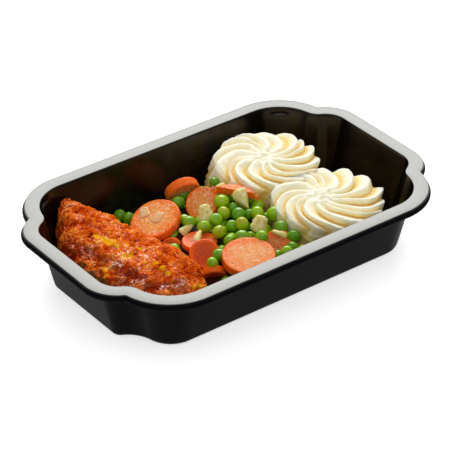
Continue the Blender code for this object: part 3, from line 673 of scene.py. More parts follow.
def rosette_points(number, shape):
    """Rows of points of a rosette, and for each point its painted shade plus the tone of torn mash."""
    draw = np.random.default_rng(ROSETTE_SEED + number)
    widths = draw.uniform(-RIDGE_WIDTH_SPREAD, RIDGE_WIDTH_SPREAD, RIDGES) / RIDGES * 2 * math.pi
    lifts = draw.uniform(*RIDGE_LIFTS, RIDGES)
    centre = Vector(shape["centre"])
    rim_shift = Vector(shape["rim_shift"])
    foot_shift = Vector(shape["foot_shift"])
    levels = np.linspace(0, 1, len(ROSETTE_RADII))
    rows = []
    shade_and_torn_tone = []
    for row in range(ROSETTE_ROWS):
        share = (row + 1) / ROSETTE_ROWS
        tables = (ROSETTE_RADII, ROSETTE_HEIGHTS, ROSETTE_RIDGES)
        radius_share, height_share, ridge_share = [float(np.interp(share, levels, t)) for t in tables]
        sweep = RIDGE_SWEEP * radius_share ** SWEEP_POWER
        to_foot = min(max((share - FOOT_START) / FOOT_FADE, 0.0), 1.0)
        depth = RIDGE_DEPTH * (1.0 - FOOT_FLATTER * to_foot)
        shift = rim_shift.lerp(foot_shift, to_foot) * radius_share
        made = []
        for step in range(RIDGES * RIDGE_SAMPLES):
            phase = step % RIDGE_SAMPLES / RIDGE_SAMPLES
            ridge = step // RIDGE_SAMPLES
            blend = phase * phase * (3 - 2 * phase)
            own_turn = widths[ridge] * (1 - blend) + widths[(ridge + 1) % RIDGES] * blend
            bearing = 2 * math.pi * step / (RIDGES * RIDGE_SAMPLES)
            seed = Vector((
                math.cos(bearing) * WANDER_ROUND, math.sin(bearing) * WANDER_ROUND,
                radius_share * WANDER_OUT + 7 * number,
            ))
            angle = bearing + sweep + own_turn + RIDGE_WANDER * noise.noise(seed)
            lift = lifts[ridge] * math.sin(math.pi * phase) * ridge_share
            rise = ridge_height(phase) * ridge_share
            reach = radius_share * shape["radius"] + RIDGE_DEPTH * RIDGE_INWARD * (rise - ridge_share)
            x = centre.x + reach * math.cos(angle) + shift.x
            y = centre.y + reach * math.sin(angle) + shift.y
            z = FOOD_FLOOR + (shape["peak"] - FOOD_FLOOR) * height_share - depth * (ridge_share - rise)
            place = Vector((x, y, max(z, FOOD_FLOOR)))
            crumbs = Vector((x / TORN_WIDTH, y / TORN_WIDTH, z / TORN_RISE))
            torn = noise.fractal(crumbs, 0.8, 2.0, 3) * TORN_DEPTH * to_foot
            soft = noise.fractal(place / CURD_SIZE, 0.9, 2.0, 3) * CURD_HEIGHT
            middle = max(0.0, 1 - radius_share / NUB_REACH)
            nubs = middle * NUB_HEIGHT * noise.noise(place / NUB_SIZE + Vector((0, 0, 3.0 * number)))
            outward = Vector((math.cos(angle), math.sin(angle), 0))
            place += outward * (torn + lift) + Vector((0, 0, soft + lift + nubs))
            made.append(place)
            # Painted shade: deeper yellow in the valleys, at the foot and low down, plus the tone of torn
            # mash.
            low_shade = min(max((LOW_SHADE_LEVEL - z) / LOW_SHADE_FADE, 0.0), 1.0)
            valley_shade = (ridge_share - rise) ** VALLEY_POWER
            shade_and_torn_tone.append(valley_shade + FOOT_SHADE * to_foot + TORN_TONE * abs(torn) + LOW_SHADE_TONE * low_shade)
        rows.append(made)
    points, faces = skin_rows(rows)
    points = push_inside(points, WALL_GAP)
    points[:, 2] = np.maximum(points[:, 2], FOOD_FLOOR)
    return points, faces, shade_and_torn_tone + [0.0, FOOT_SHADE]


# %% [markdown]
# Mashed potato is wet starch: light goes in, scatters and comes out softer and warmer, so it has
# subsurface scattering, a cream colour and a soft sheen. The stronger butter yellow in the valleys, at the
# foot and low on the sides is painted shade.

# %% Material of the mash
MASH_GRAIN = 2.5

mash = new_material("buttery potato mash")
place = add(mash, "ShaderNodeTexCoord").outputs["Object"]
# This per-point value is painted shade, with the tone of torn mash.
depth = add(mash, "ShaderNodeAttribute", attribute_name="valley_shade").outputs["Fac"]
inputs = {"Vector": place, "Scale": 1 / (MASH_GRAIN * MM), "Detail": 3.0}
curds = add(mash, "ShaderNodeTexNoise", inputs).outputs[0]
varied = add(mash, "ShaderNodeMath", {0: curds, 1: 0.5, 2: depth}, operation="MULTIPLY_ADD").outputs[0]
# The deeper yellows toward the ramp's end are painted shade.
colour = add(mash, "ShaderNodeValToRGB", {"Fac": varied}, stops=[
    (0.2, "faf2dc"), (0.5, "fbf0d0"), (0.85, "f8e4a8"), (1.0, "eed07c"),
]).outputs[0]
bump = add(mash, "ShaderNodeBump", {"Strength": 0.35, "Distance": 0.25 * MM, "Height": curds}).outputs[0]
finish_material(mash, Base_Color=colour, Roughness=0.46, IOR=1.4, Specular_IOR_Level=0.3, Normal=bump,
                Subsurface_Weight=0.8, Subsurface_Radius=(0.006, 0.0054, 0.0044), Subsurface_Scale=0.8)

# %% Build both rosettes
for number, (name, shape, node) in enumerate((
    ("piped_mash_back", BACK_ROSETTE, "mash_rosette_back"),
    ("piped_mash_front", FRONT_ROSETTE, "mash_rosette_front"),
)):
    points, faces, shade_and_torn_tone = rosette_points(number, shape)
    rosette = make_piece(name, points, faces, [mash], sharp=180)
    keep_values(rosette, "valley_shade", shade_and_torn_tone)
    place_piece(rosette, "mash", node)

# %% [markdown]
# ## The carrot slices
#
# Carrots are cut across and steamed. Each slice is a flat disc that is not quite round, with its cutting
# edge softened. It is a loft from the middle of one face, over the edge, to the middle of the other, so a
# number per point can say how far it is from the core: the core is paler, the outer ring stronger, and
# the skin side is the brightest orange. A second number, one for each slice, says how deep its orange is;
# it is partly the slice's own colour and partly painted shade on slices that face away from the light.
# The fourth slice is cut, and only the crescent that shows behind the peas is made.

# %% Carrot slices in their places
# The last number of each slice is partly its own deeper orange and partly painted shade, for slices that
# face away from the light.
CARROTS = [
    {"at": (-29.9, 27.0, 19.3), "radius": 14.7, "thick": 4.5, "lean": 22, "turn": 181, "deep_and_shade": 0.0},
    {"at": (0.7, 43.6, 18.9), "radius": 10.3, "thick": 5.8, "lean": 114, "turn": 256, "deep_and_shade": 0.0},
    {"at": (-0.8, 22.3, 21.7), "radius": 9.9, "thick": 4.0, "lean": 43, "turn": 202, "deep_and_shade": 0.15},
    {"at": (6.4, 6.1, 28.4), "radius": 14.6, "thick": 4.4, "lean": 4, "turn": 215, "cut": -9.0, "deep_and_shade": 0.1},
    {"at": (-33.0, 8.0, 11.8), "radius": 6.5, "thick": 3.8, "lean": 60, "turn": 215, "deep_and_shade": 0.8},
    {"at": (-22.0, -3.2, 17.4), "radius": 10.0, "thick": 3.5, "lean": 2, "turn": 60, "deep_and_shade": 0.8},
    {"at": (-28.3, -16.2, 18.9), "radius": 8.6, "thick": 3.4, "lean": 38, "turn": 235, "deep_and_shade": 0.9},
    {"at": (-13.8, -36.8, 21.6), "radius": 14.9, "thick": 5.0, "lean": 9, "turn": 233, "deep_and_shade": 0.15},
    {"at": (-30.4, -27.6, 12.7), "radius": 7.3, "thick": 4.5, "lean": 118, "turn": 238, "deep_and_shade": 1.0},
    {"at": (11.0, -31.5, 18.5), "radius": 8.0, "thick": 5.0, "lean": 35, "turn": 225, "deep_and_shade": 0.5},
]
CARROT_SIDES = 72
CARROT_ROUND = 0.9
CARROT_SEED = 5.3
OVAL_LUMPS = 1.4
OVAL_DEPTH = 0.035
WAVE_DEPTH = 0.015
DENT_SIZE = 2.2
DENT_DEPTH = 0.12


def tilt(lean, turn, spin=0.0):
    """Rotation that leans a flat piece by lean degrees, its face turning toward the bearing turn."""
    turn = math.radians(turn)
    about = Vector((-math.sin(turn), math.cos(turn), 0))
    spun = Matrix.Rotation(math.radians(spin), 3, "Z")
    return Matrix.Rotation(math.radians(lean), 3, about) @ spun


def carrot_points(number, piece):
    """Points and faces of one slice, and for each point its share of the way from core to skin."""
    radius = piece["radius"]
    half = piece["thick"] / 2
    turned = tilt(piece["lean"], piece["turn"])
    cut = piece.get("cut", radius)
    cut_side = Matrix.Rotation(math.radians(piece["turn"]), 3, "Z") @ Vector((1, 0, 0))
    inner = radius - CARROT_ROUND
    face_reaches = [inner * share for share in (0.08, 0.25, 0.4, 0.55, 0.7, 0.82, 0.92, 1.0)]
    bend = [math.radians(angle) for angle in (15, 35, 55, 75)]
    section = [(reach, -half) for reach in face_reaches]
    edge = [(inner + CARROT_ROUND * math.sin(a), half - CARROT_ROUND * (1 - math.cos(a))) for a in bend]
    section += [(reach, -height) for reach, height in edge]
    section += [(radius, share * (half - CARROT_ROUND)) for share in (-0.6, 0.0, 0.6)]
    section += reversed(edge)
    section += [(reach, half) for reach in reversed(face_reaches)]
    rows = []
    shares = []
    for reach, height in section:
        row = []
        for side in range(CARROT_SIDES):
            angle = 2 * math.pi * side / CARROT_SIDES
            seed = Vector((math.cos(angle) * OVAL_LUMPS, math.sin(angle) * OVAL_LUMPS, number * CARROT_SEED))
            wobble = 1 - OVAL_DEPTH * abs(noise.noise(seed)) - WAVE_DEPTH * (1 + noise.noise(seed * 3)) / 2
            place = Vector((reach * wobble * math.cos(angle), reach * wobble * math.sin(angle), height))
            place -= cut_side * max(0.0, place @ cut_side - cut)
            dent = noise.noise(place / DENT_SIZE + Vector((0, 0, number * CARROT_SEED)))
            place.z -= math.copysign(DENT_DEPTH * (1 + dent) * (reach < inner), height)
            row.append(turned @ place + Vector(piece["at"]))
            shares.append(reach / radius)
        rows.append(row)
    points, faces = skin_rows(rows)
    return points, faces, shares + [0.0, 0.0]


# %% [markdown]
# Cooked carrot is wet and lets a little light into it. Its cut faces are a pale salmon orange with a fine
# whitish mottle where the cells dried, which also breaks the gloss, and the skin side is a clear bright
# orange. Slices with a deeper orange, which is partly painted shade, get less of the mottle.

# %% Material of the carrot
CELL_MOTTLE = 1.4
BROAD_TINT = 9
FACE_EDGE = (0.85, 0.95)

carrot = new_material("steamed carrot")
place = add(carrot, "ShaderNodeTexCoord").outputs["Object"]
share, deep_and_shade = [
    add(carrot, "ShaderNodeAttribute", attribute_name=name).outputs["Fac"] for name in ("from_core", "deep_and_shade")
]
mottle, broad = [
    add(carrot, "ShaderNodeTexNoise", {
        "Vector": place, "Scale": 1 / (size * MM), "Detail": detail,
    }).outputs[0]
    for size, detail in ((CELL_MOTTLE, 4.0), (BROAD_TINT, 2.0))
]
shifted = add(carrot, "ShaderNodeMath", {0: broad, 1: 0.8, 2: share}, operation="MULTIPLY_ADD").outputs[0]
across = add(carrot, "ShaderNodeMapRange", {"Value": shifted, "From Min": 0.4, "From Max": 1.4}).outputs[0]
light = add(carrot, "ShaderNodeValToRGB", {"Fac": across}, stops=[
    (0.0, "faa658"), (0.5, "f89a48"), (0.8, "fa8020"), (1.0, "fc6c06"),
]).outputs[0]
# This ramp is the deeper orange, partly painted shade for slices turned away from the light.
strong_and_shaded = add(carrot, "ShaderNodeValToRGB", {"Fac": across}, stops=[
    (0.0, "c43004"), (0.6, "d84204"), (0.85, "f4640a"), (1.0, "fa6e0c"),
]).outputs[0]
flesh = add(carrot, "ShaderNodeMix", {0: deep_and_shade, 6: light, 7: strong_and_shaded}, data_type="RGBA").outputs[2]
pale = add(carrot, "ShaderNodeMapRange", {
    "Value": mottle, "From Min": 0.47, "From Max": 0.68, "To Max": 0.85,
}).outputs[0]
on_face, shine = [
    add(carrot, "ShaderNodeMapRange", {
        "Value": share, "From Min": FACE_EDGE[0], "From Max": FACE_EDGE[1], "To Min": face, "To Max": side,
    }).outputs[0]
    for face, side in ((1.0, 0.15), (0.14, 0.3))
]
fresh = add(carrot, "ShaderNodeMath", {0: 1.0, 1: deep_and_shade}, operation="SUBTRACT").outputs[0]
amount = add(carrot, "ShaderNodeMath", {0: pale, 1: on_face}, operation="MULTIPLY").outputs[0]
amount = add(carrot, "ShaderNodeMath", {0: amount, 1: fresh}, operation="MULTIPLY").outputs[0]
dried = linear("f8d2a8")
mottled = add(carrot, "ShaderNodeMix", {0: amount, 6: flesh, 7: dried}, data_type="RGBA").outputs[2]
pepper = pepper_mask(carrot, place)
ground = linear("2a1406")
colour = add(carrot, "ShaderNodeMix", {0: pepper, 6: mottled, 7: ground}, data_type="RGBA").outputs[2]
bump = add(carrot, "ShaderNodeBump", {"Strength": 0.4, "Distance": 0.2 * MM, "Height": mottle}).outputs[0]
finish_material(carrot, Base_Color=colour, Roughness=0.26, IOR=1.38, Specular_IOR_Level=shine, Normal=bump,
                Subsurface_Weight=0.35, Subsurface_Radius=(0.004, 0.0016, 0.0006), Subsurface_Scale=0.5)

# %% Build the carrot slices
for number, piece in enumerate(CARROTS, 1):
    points, faces, shares = carrot_points(number, piece)
    slice_ = make_piece(f"carrot_{number}", points, faces, [carrot], sharp=75)
    keep_values(slice_, "from_core", shares)
    keep_values(slice_, "deep_and_shade", [piece["deep_and_shade"]] * len(points))
    place_piece(slice_, "carrot", f"carrot_slice_{number}")

# %% [markdown]
# ## The onion pieces
#
# Each piece is cut from one curved layer of an onion, so it is small and curved, thickest in its middle,
# rounded at its corners and narrower where the layer ended. Two grids, one for each face and joined round
# their edge, give that.

# %% Onion pieces in their places
ONIONS = [
    {"at": (-9.0, 8.5, 25.0), "length": 11, "width": 9, "point": 0.3, "lean": 45, "turn": 225, "spin": 60},
    {"at": (14.4, 5.2, 27.2), "length": 12.5, "width": 10, "point": 0.9, "lean": 50, "turn": 233,
     "spin": 264},
    {"at": (7.0, -19.5, 26.5), "length": 10, "width": 9, "point": 0.2, "lean": 55, "turn": 233, "spin": 30},
    {"at": (-21.5, 9.5, 19.5), "length": 9, "width": 6, "point": 0.6, "lean": 30, "turn": 225, "spin": 0},
    {"at": (11.5, -31.5, 24.7), "length": 9, "width": 4, "point": 0.5, "lean": 35, "turn": 225, "spin": 120},
    {"at": (-23.6, -4.2, 22.4), "length": 9, "width": 5, "point": 0.7, "lean": 10, "turn": 225, "spin": 35},
    {"at": (13.0, 24.0, 27.0), "length": 6, "width": 4, "point": 0.3, "lean": 20, "turn": 225, "spin": 0},
]
ONION_THICK = 2.4
ONION_ROUND = 0.45
ONION_GRID = (22, 16)
EDGE_SLOPES = (5, 6)
EDGE_SHARE = 0.1
END_SHARE = 0.75
LAYER_BOW = 0.18
TORN_LENGTH = 0.08
TORN_SIDE = 0.1
TORN_FACE = 0.1


def onion_points(number, piece):
    """Points and faces of one curved piece of onion layer."""
    turned = tilt(piece["lean"], piece["turn"], piece["spin"])
    most = piece.get("thick", ONION_THICK)
    long_steps, wide_steps = ONION_GRID
    grid = {}
    points = []
    for face in (0, 1):
        for i in range(long_steps + 1):
            for j in range(wide_steps + 1):
                along = i / long_steps - 0.5
                across = j / wide_steps - 0.5
                rim = min(1.0, (0.5 - abs(across)) * EDGE_SLOPES[0], (0.5 - abs(along)) * EDGE_SLOPES[1])
                full = END_SHARE + (1 - END_SHARE) * math.cos(math.pi * along)
                thick = most * full * (EDGE_SHARE + (1 - EDGE_SHARE) * math.sqrt(rim))
                bow = piece.get("bow", LAYER_BOW) * piece["width"] * (1 - (2 * across) ** 2)
                ragged = noise.noise(Vector((along * 6, across * 6, number * 3.1)))
                along, across = [
                    one * (1 - ONION_ROUND * (1 - math.sqrt(1 - 2 * other ** 2))) for one, other in
                    ((along, across), (across, along))
                ]
                narrow = 1 - piece["point"] * (along + 0.5) ** 1.5
                place = Vector((
                    along * piece["length"] * (1 + TORN_LENGTH * ragged),
                    across * piece["width"] * narrow * (1 + TORN_SIDE * ragged),
                    bow + (face - 0.5) * thick + TORN_FACE * most * ragged,
                ))
                grid[face, i, j] = len(points)
                points.append(turned @ place + Vector(piece["at"]))
    faces = []
    for face in (0, 1):
        for i in range(long_steps):
            for j in range(wide_steps):
                around = ((i, j), (i + 1, j), (i + 1, j + 1), (i, j + 1))
                faces.append(tuple(grid[face, *step] for step in around))
    edge = [(i, 0) for i in range(long_steps)] + [(long_steps, j) for j in range(wide_steps)]
    edge += [(i, wide_steps) for i in range(long_steps, 0, -1)] + [(0, j) for j in range(wide_steps, 0, -1)]
    for first, second in zip(edge, edge[1:] + edge[:1]):
        faces.append((grid[0, *first], grid[0, *second], grid[1, *second], grid[1, *first]))
    return points, faces


# %% [markdown]
# Cooked onion is glassy: light passes through the layer and comes out pale yellow green. Strong
# subsurface scattering gives that without the noise that real refraction would bring. Where a thin bit
# lies on carrot, the orange shows through it, so the same function also makes an orange film with hardly
# any scattering.

# %% Material of the onion
ONION_VEINS = 3


def cooked_onion(name, stops, scattering):
    """Glassy onion layer in the given colours, with pepper on it."""
    material = new_material(name)
    place = add(material, "ShaderNodeTexCoord").outputs["Object"]
    inputs = {"Vector": place, "Scale": 1 / (ONION_VEINS * MM), "Detail": 3.0}
    veins = add(material, "ShaderNodeTexNoise", inputs).outputs[0]
    layer = add(material, "ShaderNodeValToRGB", {"Fac": veins}, stops=stops).outputs[0]
    pepper = pepper_mask(material, place)
    ground = linear("3a2a10")
    colour = add(material, "ShaderNodeMix", {0: pepper, 6: layer, 7: ground}, data_type="RGBA").outputs[2]
    bump = add(material, "ShaderNodeBump", {
        "Strength": 0.15, "Distance": 0.15 * MM, "Height": veins,
    }).outputs[0]
    return finish_material(material, Base_Color=colour, Roughness=0.2, IOR=1.38, Normal=bump,
                           Subsurface_Weight=scattering, Subsurface_Radius=(0.008, 0.007, 0.0035),
                           Subsurface_Scale=0.3)


ONION = cooked_onion("glassy cooked onion", [
    (0.3, "d8cc70"), (0.55, "eadf98"), (0.75, "f6f2cc"),
], scattering=0.9)
ONION_FILM = cooked_onion("onion skin over carrot", [
    (0.3, "f6aa64"), (0.55, "fabe86"), (0.75, "ffe0b8"),
], scattering=0.3)

# %% Build the onion pieces
for number, piece in enumerate(ONIONS, 1):
    points, faces = onion_points(number, piece)
    layer = make_piece(f"onion_{number}", points, faces, [ONION], sharp=180)
    place_piece(layer, "onion", f"onion_piece_{number}")

# %% [markdown]
# Two thin bits of onion stick to the first carrot slice. They are made the same way, only flat and
# thinner.

# %% Build the onion bits on the carrot
BIT_THICK = 0.45
BIT_SEED = 20
ONION_BITS = [
    {"at": (-29.4, 26.0, 22.0), "length": 8.0, "width": 6.0, "point": 0.3, "spin": 20},
    {"at": (-31.5, 36.0, 21.2), "length": 8.0, "width": 6.0, "point": 0.3, "spin": 65},
]
points = []
faces = []
for number, bit in enumerate(ONION_BITS):
    flat = {"lean": CARROTS[0]["lean"], "turn": CARROTS[0]["turn"], "thick": BIT_THICK, "bow": 0.0}
    own_points, own_faces = onion_points(number + BIT_SEED, {**bit, **flat})
    faces += [tuple(len(points) + corner for corner in face) for face in own_faces]
    points += own_points
place_piece(make_piece("onion_bits", points, faces, [ONION_FILM], sharp=180), "onion")

# %% [markdown]
# ## The peas
#
# The peas that show in the photo are placed one by one. Below them the heap goes on: more peas lie on a
# low mound, wherever there is room between the pieces above, and may sink a little into each other as
# soft peas do. All of them are one joined mesh, since a hundred separate objects would only make the
# model slow. A pea is a sphere that is a little squashed, with a faint dimple and, where it dried, a
# wrinkled skin.

# %% Places of the peas
PEAS = [
    (6, 13.5, 25, 4.5), (15, 16, 23.5, 3.6), (21, 8.5, 23.5, 3.4), (9, 6.5, 23.5, 3.1), (1, 5, 23.5, 4.1),
    (6, -2, 24.5, 4.0), (12.5, -3, 22.5, 3.4), (14, -8.5, 25.5, 3.9), (-6.5, 2.5, 23.5, 3.9),
    (-2, -6.5, 22, 3.6), (1, -11.5, 25, 3.9), (-12, -7.5, 22.5, 4.0), (-11, -16, 21, 3.4),
    (-5.5, -20, 23.5, 4.1), (1, -29, 25, 4.1), (15, 32, 25, 3.6), (24, 3.5, 20.5, 3.9),
    (19.5, -0.5, 21.5, 3.4), (21, -9, 20, 3.3), (22, -14, 24.5, 4.5), (17, -26.5, 24, 4.1),
    (19, -35, 22, 4.0), (13.5, -40.5, 19.5, 3.5), (7.5, -43.5, 20.5, 3.6), (17, -45.5, 19.5, 3.0),
    (2.5, -41.5, 19.5, 3.0), (-18, 12, 21.5, 3.9), (-16.5, 18.5, 19, 3.3), (-14.5, 3, 21.5, 4.0),
    (-24, -24, 21, 4.0), (-30.5, -26.5, 19.5, 3.5), (11, 39, 17, 3.4), (-0.5, 42, 17.5, 3.8),
    (6.5, 42, 15, 3.4), (-7.5, 36.5, 18, 4.0), (-36.5, 53.5, 11.5, 4.0), (-33.5, 48.5, 11, 4.0),
]
WRINKLED_PEA = 11
OLIVE_PEAS = (4, 10, 11)
HIDDEN_PEA_RADIUS = 4.0
HIDDEN_PEA_SPREAD = 0.35
HIDDEN_PEA_TRIES = 4000
HIDDEN_PEA_X = (-52, 30)
HIDDEN_PEA_Y = (-60, 60)
HIDDEN_PEA_SINK = 1.5
HIDDEN_PEA_LAYER = 4
PEA_CLOSENESS = 0.86
PEA_CLEARANCE = 0.2
HEAP_MIDDLE = (-4.0, -4.0)
HEAP_TOP = 21.0
HEAP_FALL = 12.0
HEAP_HALF_SIZE = (46.0, 56.0)


def heap_height(x, y):
    """Height of the mound below the peas."""
    across = (x - HEAP_MIDDLE[0]) / HEAP_HALF_SIZE[0]
    along = (y - HEAP_MIDDLE[1]) / HEAP_HALF_SIZE[1]
    return HEAP_TOP - HEAP_FALL * (across ** 2 + along ** 2) ** 1.5


# %% Find room for the peas below
def tree_of(names):
    """One search tree over several CAD nodes, in millimetres."""
    points = []
    faces = []
    for name in names:
        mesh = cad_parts[name].data
        start = len(points)
        points += [v.co / MM for v in mesh.vertices]
        faces += [[start + corner for corner in face.vertices] for face in mesh.polygons]
    return BVHTree.FromPolygons(points, faces)


def clearance(tree, place):
    """Distance from a place to the nearest face, below zero inside a solid."""
    nearest, normal, _, away = tree.find_nearest(place)
    return away if (place - nearest) @ normal >= 0 else -away


others = tree_of([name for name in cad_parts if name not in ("pea_heap", "tray")])
draw = np.random.default_rng(7)
peas = [(Vector(place), radius) for *place, radius in PEAS]
for _ in range(HIDDEN_PEA_TRIES):
    x, y = draw.uniform(*HIDDEN_PEA_X), draw.uniform(*HIDDEN_PEA_Y)
    radius = HIDDEN_PEA_RADIUS + draw.uniform(-HIDDEN_PEA_SPREAD, HIDDEN_PEA_SPREAD)
    height = heap_height(x, y) - HIDDEN_PEA_SINK - draw.uniform(0, HIDDEN_PEA_LAYER)
    place = Vector((x, y, max(height, FOOD_FLOOR + radius)))
    walled = Vector(push_inside([place], radius + WALL_GAP)[0])
    if (walled - place).length > 1e-6 or clearance(others, place) < radius + PEA_CLEARANCE:
        continue
    if all((place - other).length > PEA_CLOSENESS * (radius + size) for other, size in peas):
        peas.append((place, radius))
print("peas:", len(PEAS), "seen and", len(peas) - len(PEAS), "below")

# %% Mesh of all the peas
PEA_RINGS = 14
PEA_SIDES = 20
PEA_SQUASH = 0.1
PEA_CREASE = 0.05
DRY_PEA_CREASE = 0.4
CREASES_ACROSS = 2.5
DIMPLE_DEPTH = 0.35
DIMPLE_START = 0.86
OLIVE_TINT = 0.8
FRESH_TINT = 0.4
TINT_SPREAD = 0.4


def pea_rows(number, place, radius):
    """Rows of points of one pea, squashed, dimpled and turned its own way."""
    squash = 1 - PEA_SQUASH + PEA_SQUASH * noise.noise(Vector((number * 1.7, 0, 0)))
    turned = Matrix.Rotation(number * 2.4, 3, Vector((math.sin(number), math.cos(number * 1.3), 0.6)))
    wrinkle = DRY_PEA_CREASE if number == WRINKLED_PEA else PEA_CREASE
    rows = []
    for ring in range(1, PEA_RINGS):
        polar = math.pi * ring / PEA_RINGS
        row = []
        for side in range(PEA_SIDES):
            angle = 2 * math.pi * side / PEA_SIDES
            flat = math.sin(polar)
            way = Vector((flat * math.cos(angle), flat * math.sin(angle), math.cos(polar)))
            crease = noise.fractal(way * CREASES_ACROSS + Vector((number * 3.0, 0, 0)), 0.8, 2.0, 2)
            dent = DIMPLE_DEPTH * max(0.0, way.x - DIMPLE_START) / (1 - DIMPLE_START)
            way.z *= squash
            row.append(place + turned @ way * (radius + wrinkle * crease - dent))
        rows.append(row)
    return rows


points = []
faces = []
tints = []
for number, (place, radius) in enumerate(peas):
    own_points, own_faces = skin_rows(pea_rows(number, place, radius))
    faces += [tuple(len(points) + corner for corner in face) for face in own_faces]
    points += own_points
    fresh = FRESH_TINT + TINT_SPREAD * noise.noise(Vector((number * 2.3, 1.5, 0)))
    tints += [OLIVE_TINT if number in OLIVE_PEAS else fresh] * len(own_points)
print("points of the peas:", len(points))

# %% [markdown]
# A pea's skin is thin, waxy and, here, wet with butter, over bright green flesh that scatters light. The
# colour of each pea differs a little, from olive to fresh green, and each one has soft paler streaks.

# %% Material of the peas
PEA_STREAK = 3.5

pea_skin = new_material("buttered green pea")
place = add(pea_skin, "ShaderNodeTexCoord").outputs["Object"]
tint = add(pea_skin, "ShaderNodeAttribute", attribute_name="tint").outputs["Fac"]
inputs = {"Vector": place, "Scale": 1 / (PEA_STREAK * MM), "Detail": 3.0}
streak = add(pea_skin, "ShaderNodeTexNoise", inputs).outputs[0]
both = add(pea_skin, "ShaderNodeMath", {0: streak, 1: tint}, operation="ADD").outputs[0]
green = add(pea_skin, "ShaderNodeMapRange", {"Value": both, "From Min": 0.65, "From Max": 1.35}).outputs[0]
colour = add(pea_skin, "ShaderNodeValToRGB", {"Fac": green}, stops=[
    (0.0, "5a9800"), (0.4, "7cb200"), (0.7, "a0ca04"), (0.85, "a6c00a"), (1.0, "aab00c"),
]).outputs[0]
bump = add(pea_skin, "ShaderNodeBump", {"Strength": 0.3, "Distance": 0.25 * MM, "Height": streak}).outputs[0]
finish_material(pea_skin, Base_Color=colour, Roughness=0.2, IOR=1.42, Specular_IOR_Level=0.65, Normal=bump,
                Subsurface_Weight=0.05, Subsurface_Radius=(0.0012, 0.003, 0.0004), Subsurface_Scale=0.5)

# %% Build the peas
pea_mesh = make_piece("green_peas", points, faces, [pea_skin], sharp=180)
keep_values(pea_mesh, "tint", tints)
place_piece(pea_mesh, "pea", "pea_heap")

# %% [markdown]
# ## The mound below
#
# What shows in the gaps between the vegetables is dark: shaded, buttery bits of carrot and pea. A low
# mound in the same place as the core of the solid heap closes those gaps, and its dark colours are painted
# shade. Rays from its middle find how far it may reach before it meets the fillet, the mash or the tray.

# %% Material of the mound
MOUND_BITS = 5

mound = new_material("shaded buttery vegetables")
place = add(mound, "ShaderNodeTexCoord").outputs["Object"]
bits = add(mound, "ShaderNodeTexVoronoi", {"Vector": place, "Scale": 1 / (MOUND_BITS * MM)}).outputs["Color"]
grey = add(mound, "ShaderNodeSeparateColor", {"Color": bits}).outputs[0]
# These near-black colours are painted shade.
colour = add(mound, "ShaderNodeValToRGB", {"Fac": grey}, stops=[
    (0.0, "1e2404"), (0.5, "2e1a06"), (1.0, "4a1c06"),
]).outputs[0]
finish_material(mound, Base_Color=colour, Roughness=0.5, IOR=1.4, Specular_IOR_Level=0.05)

# %% Build the mound
MOUND_BEARINGS = 72
MOUND_RINGS = 14
MOUND_REACH = 60
MOUND_GAP = 0.6
MOUND_DROP = 3.0
MOUND_LUMP_SIZE = 4.0
MOUND_LUMP = 1.2
RAY_HEIGHTS = (1.5, 3, 6, 9, 12)

walls = tree_of(["crumbed_fillet", "mash_rosette_back", "mash_rosette_front", "tray"])
middle = Vector((*HEAP_MIDDLE, 0))
rows = [[] for _ in range(MOUND_RINGS)]
for bearing in range(MOUND_BEARINGS):
    angle = 2 * math.pi * bearing / MOUND_BEARINGS
    way = Vector((math.cos(angle), math.sin(angle), 0))
    starts = [middle + Vector((0, 0, height)) for height in RAY_HEIGHTS]
    runs = [walls.ray_cast(start, way)[3] or MOUND_REACH for start in starts]
    for ring in range(MOUND_RINGS):
        place = middle + way * (min(runs) - MOUND_GAP) * (MOUND_RINGS - ring) / MOUND_RINGS
        bulge = noise.noise(place / MOUND_LUMP_SIZE) * MOUND_LUMP
        place.z = max(heap_height(place.x, place.y) - MOUND_DROP + bulge, FOOD_FLOOR + 1.0)
        rows[ring].append(place)
foot = [Vector((p.x, p.y, FOOD_FLOOR)) for p in rows[0]]
points, faces = skin_rows([foot] + rows)
place_piece(make_piece("heap_mound", points, faces, [mound]), "pea")

# %% [markdown]
# ## Floor, light and camera
#
# The photo is a cut-out on white, lit from behind by a large softbox: the rim mirrors it as an even pale
# grey, and every pea has a broad highlight on its far side. So one large area light stands opposite the
# camera, at the height where the flat rim mirrors it. A weak fill on the camera's side and a white
# surround open the shadows. The floor is a white sheet lit from below, as a product table is, so that it
# stays white round the tray with only a faint shadow. The camera's angle and lens are the ones that make
# the tray's outline match the photo.

# %% Camera at the photo's viewing angle
PHOTO_PIXELS = 452
FOCAL_PIXELS = 2236.5
SENSOR_MM = 36
CAMERA_TURN = -0.64924
CAMERA_RISE = 0.57278
CAMERA_DISTANCE = 1.2346
AIM_RIGHT = -0.00102
AIM_UP = -0.01723

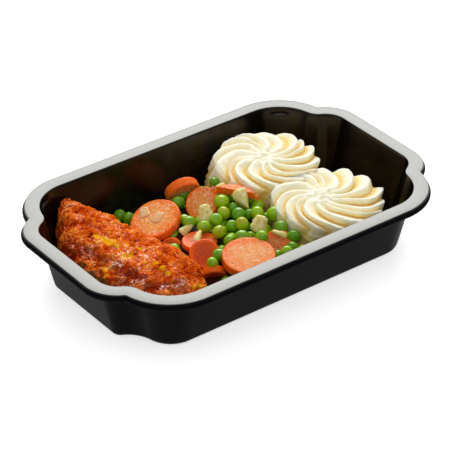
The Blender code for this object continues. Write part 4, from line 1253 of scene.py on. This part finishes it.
flat = math.cos(CAMERA_RISE)
back = Vector((math.sin(CAMERA_TURN) * flat, -math.cos(CAMERA_TURN) * flat, math.sin(CAMERA_RISE)))
right = Vector((math.cos(CAMERA_TURN), math.sin(CAMERA_TURN), 0))
up = back.cross(right)
aim = Vector((0, 0, TRAY_HEIGHT * MM)) + right * AIM_RIGHT + up * AIM_UP
lens = bpy.data.cameras.new("camera")
lens.sensor_width = SENSOR_MM
lens.lens = FOCAL_PIXELS / PHOTO_PIXELS * SENSOR_MM
camera = bpy.data.objects.new("camera", lens)
bpy.context.scene.collection.objects.link(camera)
turned = Matrix((right, up, back)).transposed().to_4x4()
camera.matrix_world = Matrix.Translation(aim + back * CAMERA_DISTANCE) @ turned
bpy.context.scene.camera = camera
print("lens:", round(lens.lens, 1), "mm")

# %% Floor
FLOOR_HALF = 3.0
FLOOR_GLOW = 0.62
floor_sheet = new_material("matt white acrylic lit from below")
finish_material(floor_sheet, Base_Color=linear("fbfbfb"), Roughness=0.9, IOR=1.4, Specular_IOR_Level=0.0,
                Emission_Color=linear("ffffff"), Emission_Strength=FLOOR_GLOW)
corners = [(-1, -1), (1, -1), (1, 1), (-1, 1)]
points = [(x * FLOOR_HALF / MM, y * FLOOR_HALF / MM, 0) for x, y in corners]
floor = make_piece("floor", points, [(0, 1, 2, 3)], [floor_sheet])

# %% Softbox, fill and surround
SOFTBOX_SIZE = 1.0
SOFTBOX_DISTANCE = 1.45
SOFTBOX_RISE = math.radians(38)
SOFTBOX_RADIANCE = 6.0
FILL_SIZE = 1.6
FILL_DISTANCE = 1.8
FILL_RISE = math.radians(60)
FILL_RADIANCE = 0.65
SURROUND = 0.45

for name, side, size, distance, rise, radiance in (
    ("softbox", 1, SOFTBOX_SIZE, SOFTBOX_DISTANCE, SOFTBOX_RISE, SOFTBOX_RADIANCE),
    ("fill", -1, FILL_SIZE, FILL_DISTANCE, FILL_RISE, FILL_RADIANCE),
):
    lamp = bpy.data.lights.new(name, "AREA")
    lamp.shape = "SQUARE"
    lamp.size = size
    lamp.energy = radiance * math.pi * size ** 2
    stand = bpy.data.objects.new(name, lamp)
    bpy.context.scene.collection.objects.link(stand)
    away = Vector((-math.sin(CAMERA_TURN), math.cos(CAMERA_TURN), 0)) * side * math.cos(rise)
    toward = away + Vector((0, 0, math.sin(rise)))
    stand.location = toward * distance
    stand.rotation_euler = toward.to_track_quat("Z", "Y").to_euler()
    print(name, [round(value, 2) for value in stand.location])

world = bpy.data.worlds.new("surround")
world.use_nodes = True
world.node_tree.nodes["Background"].inputs["Color"].default_value = (1, 1, 1, 1)
world.node_tree.nodes["Background"].inputs["Strength"].default_value = SURROUND
bpy.context.scene.world = world
bpy.context.scene.view_settings.view_transform = "Standard"
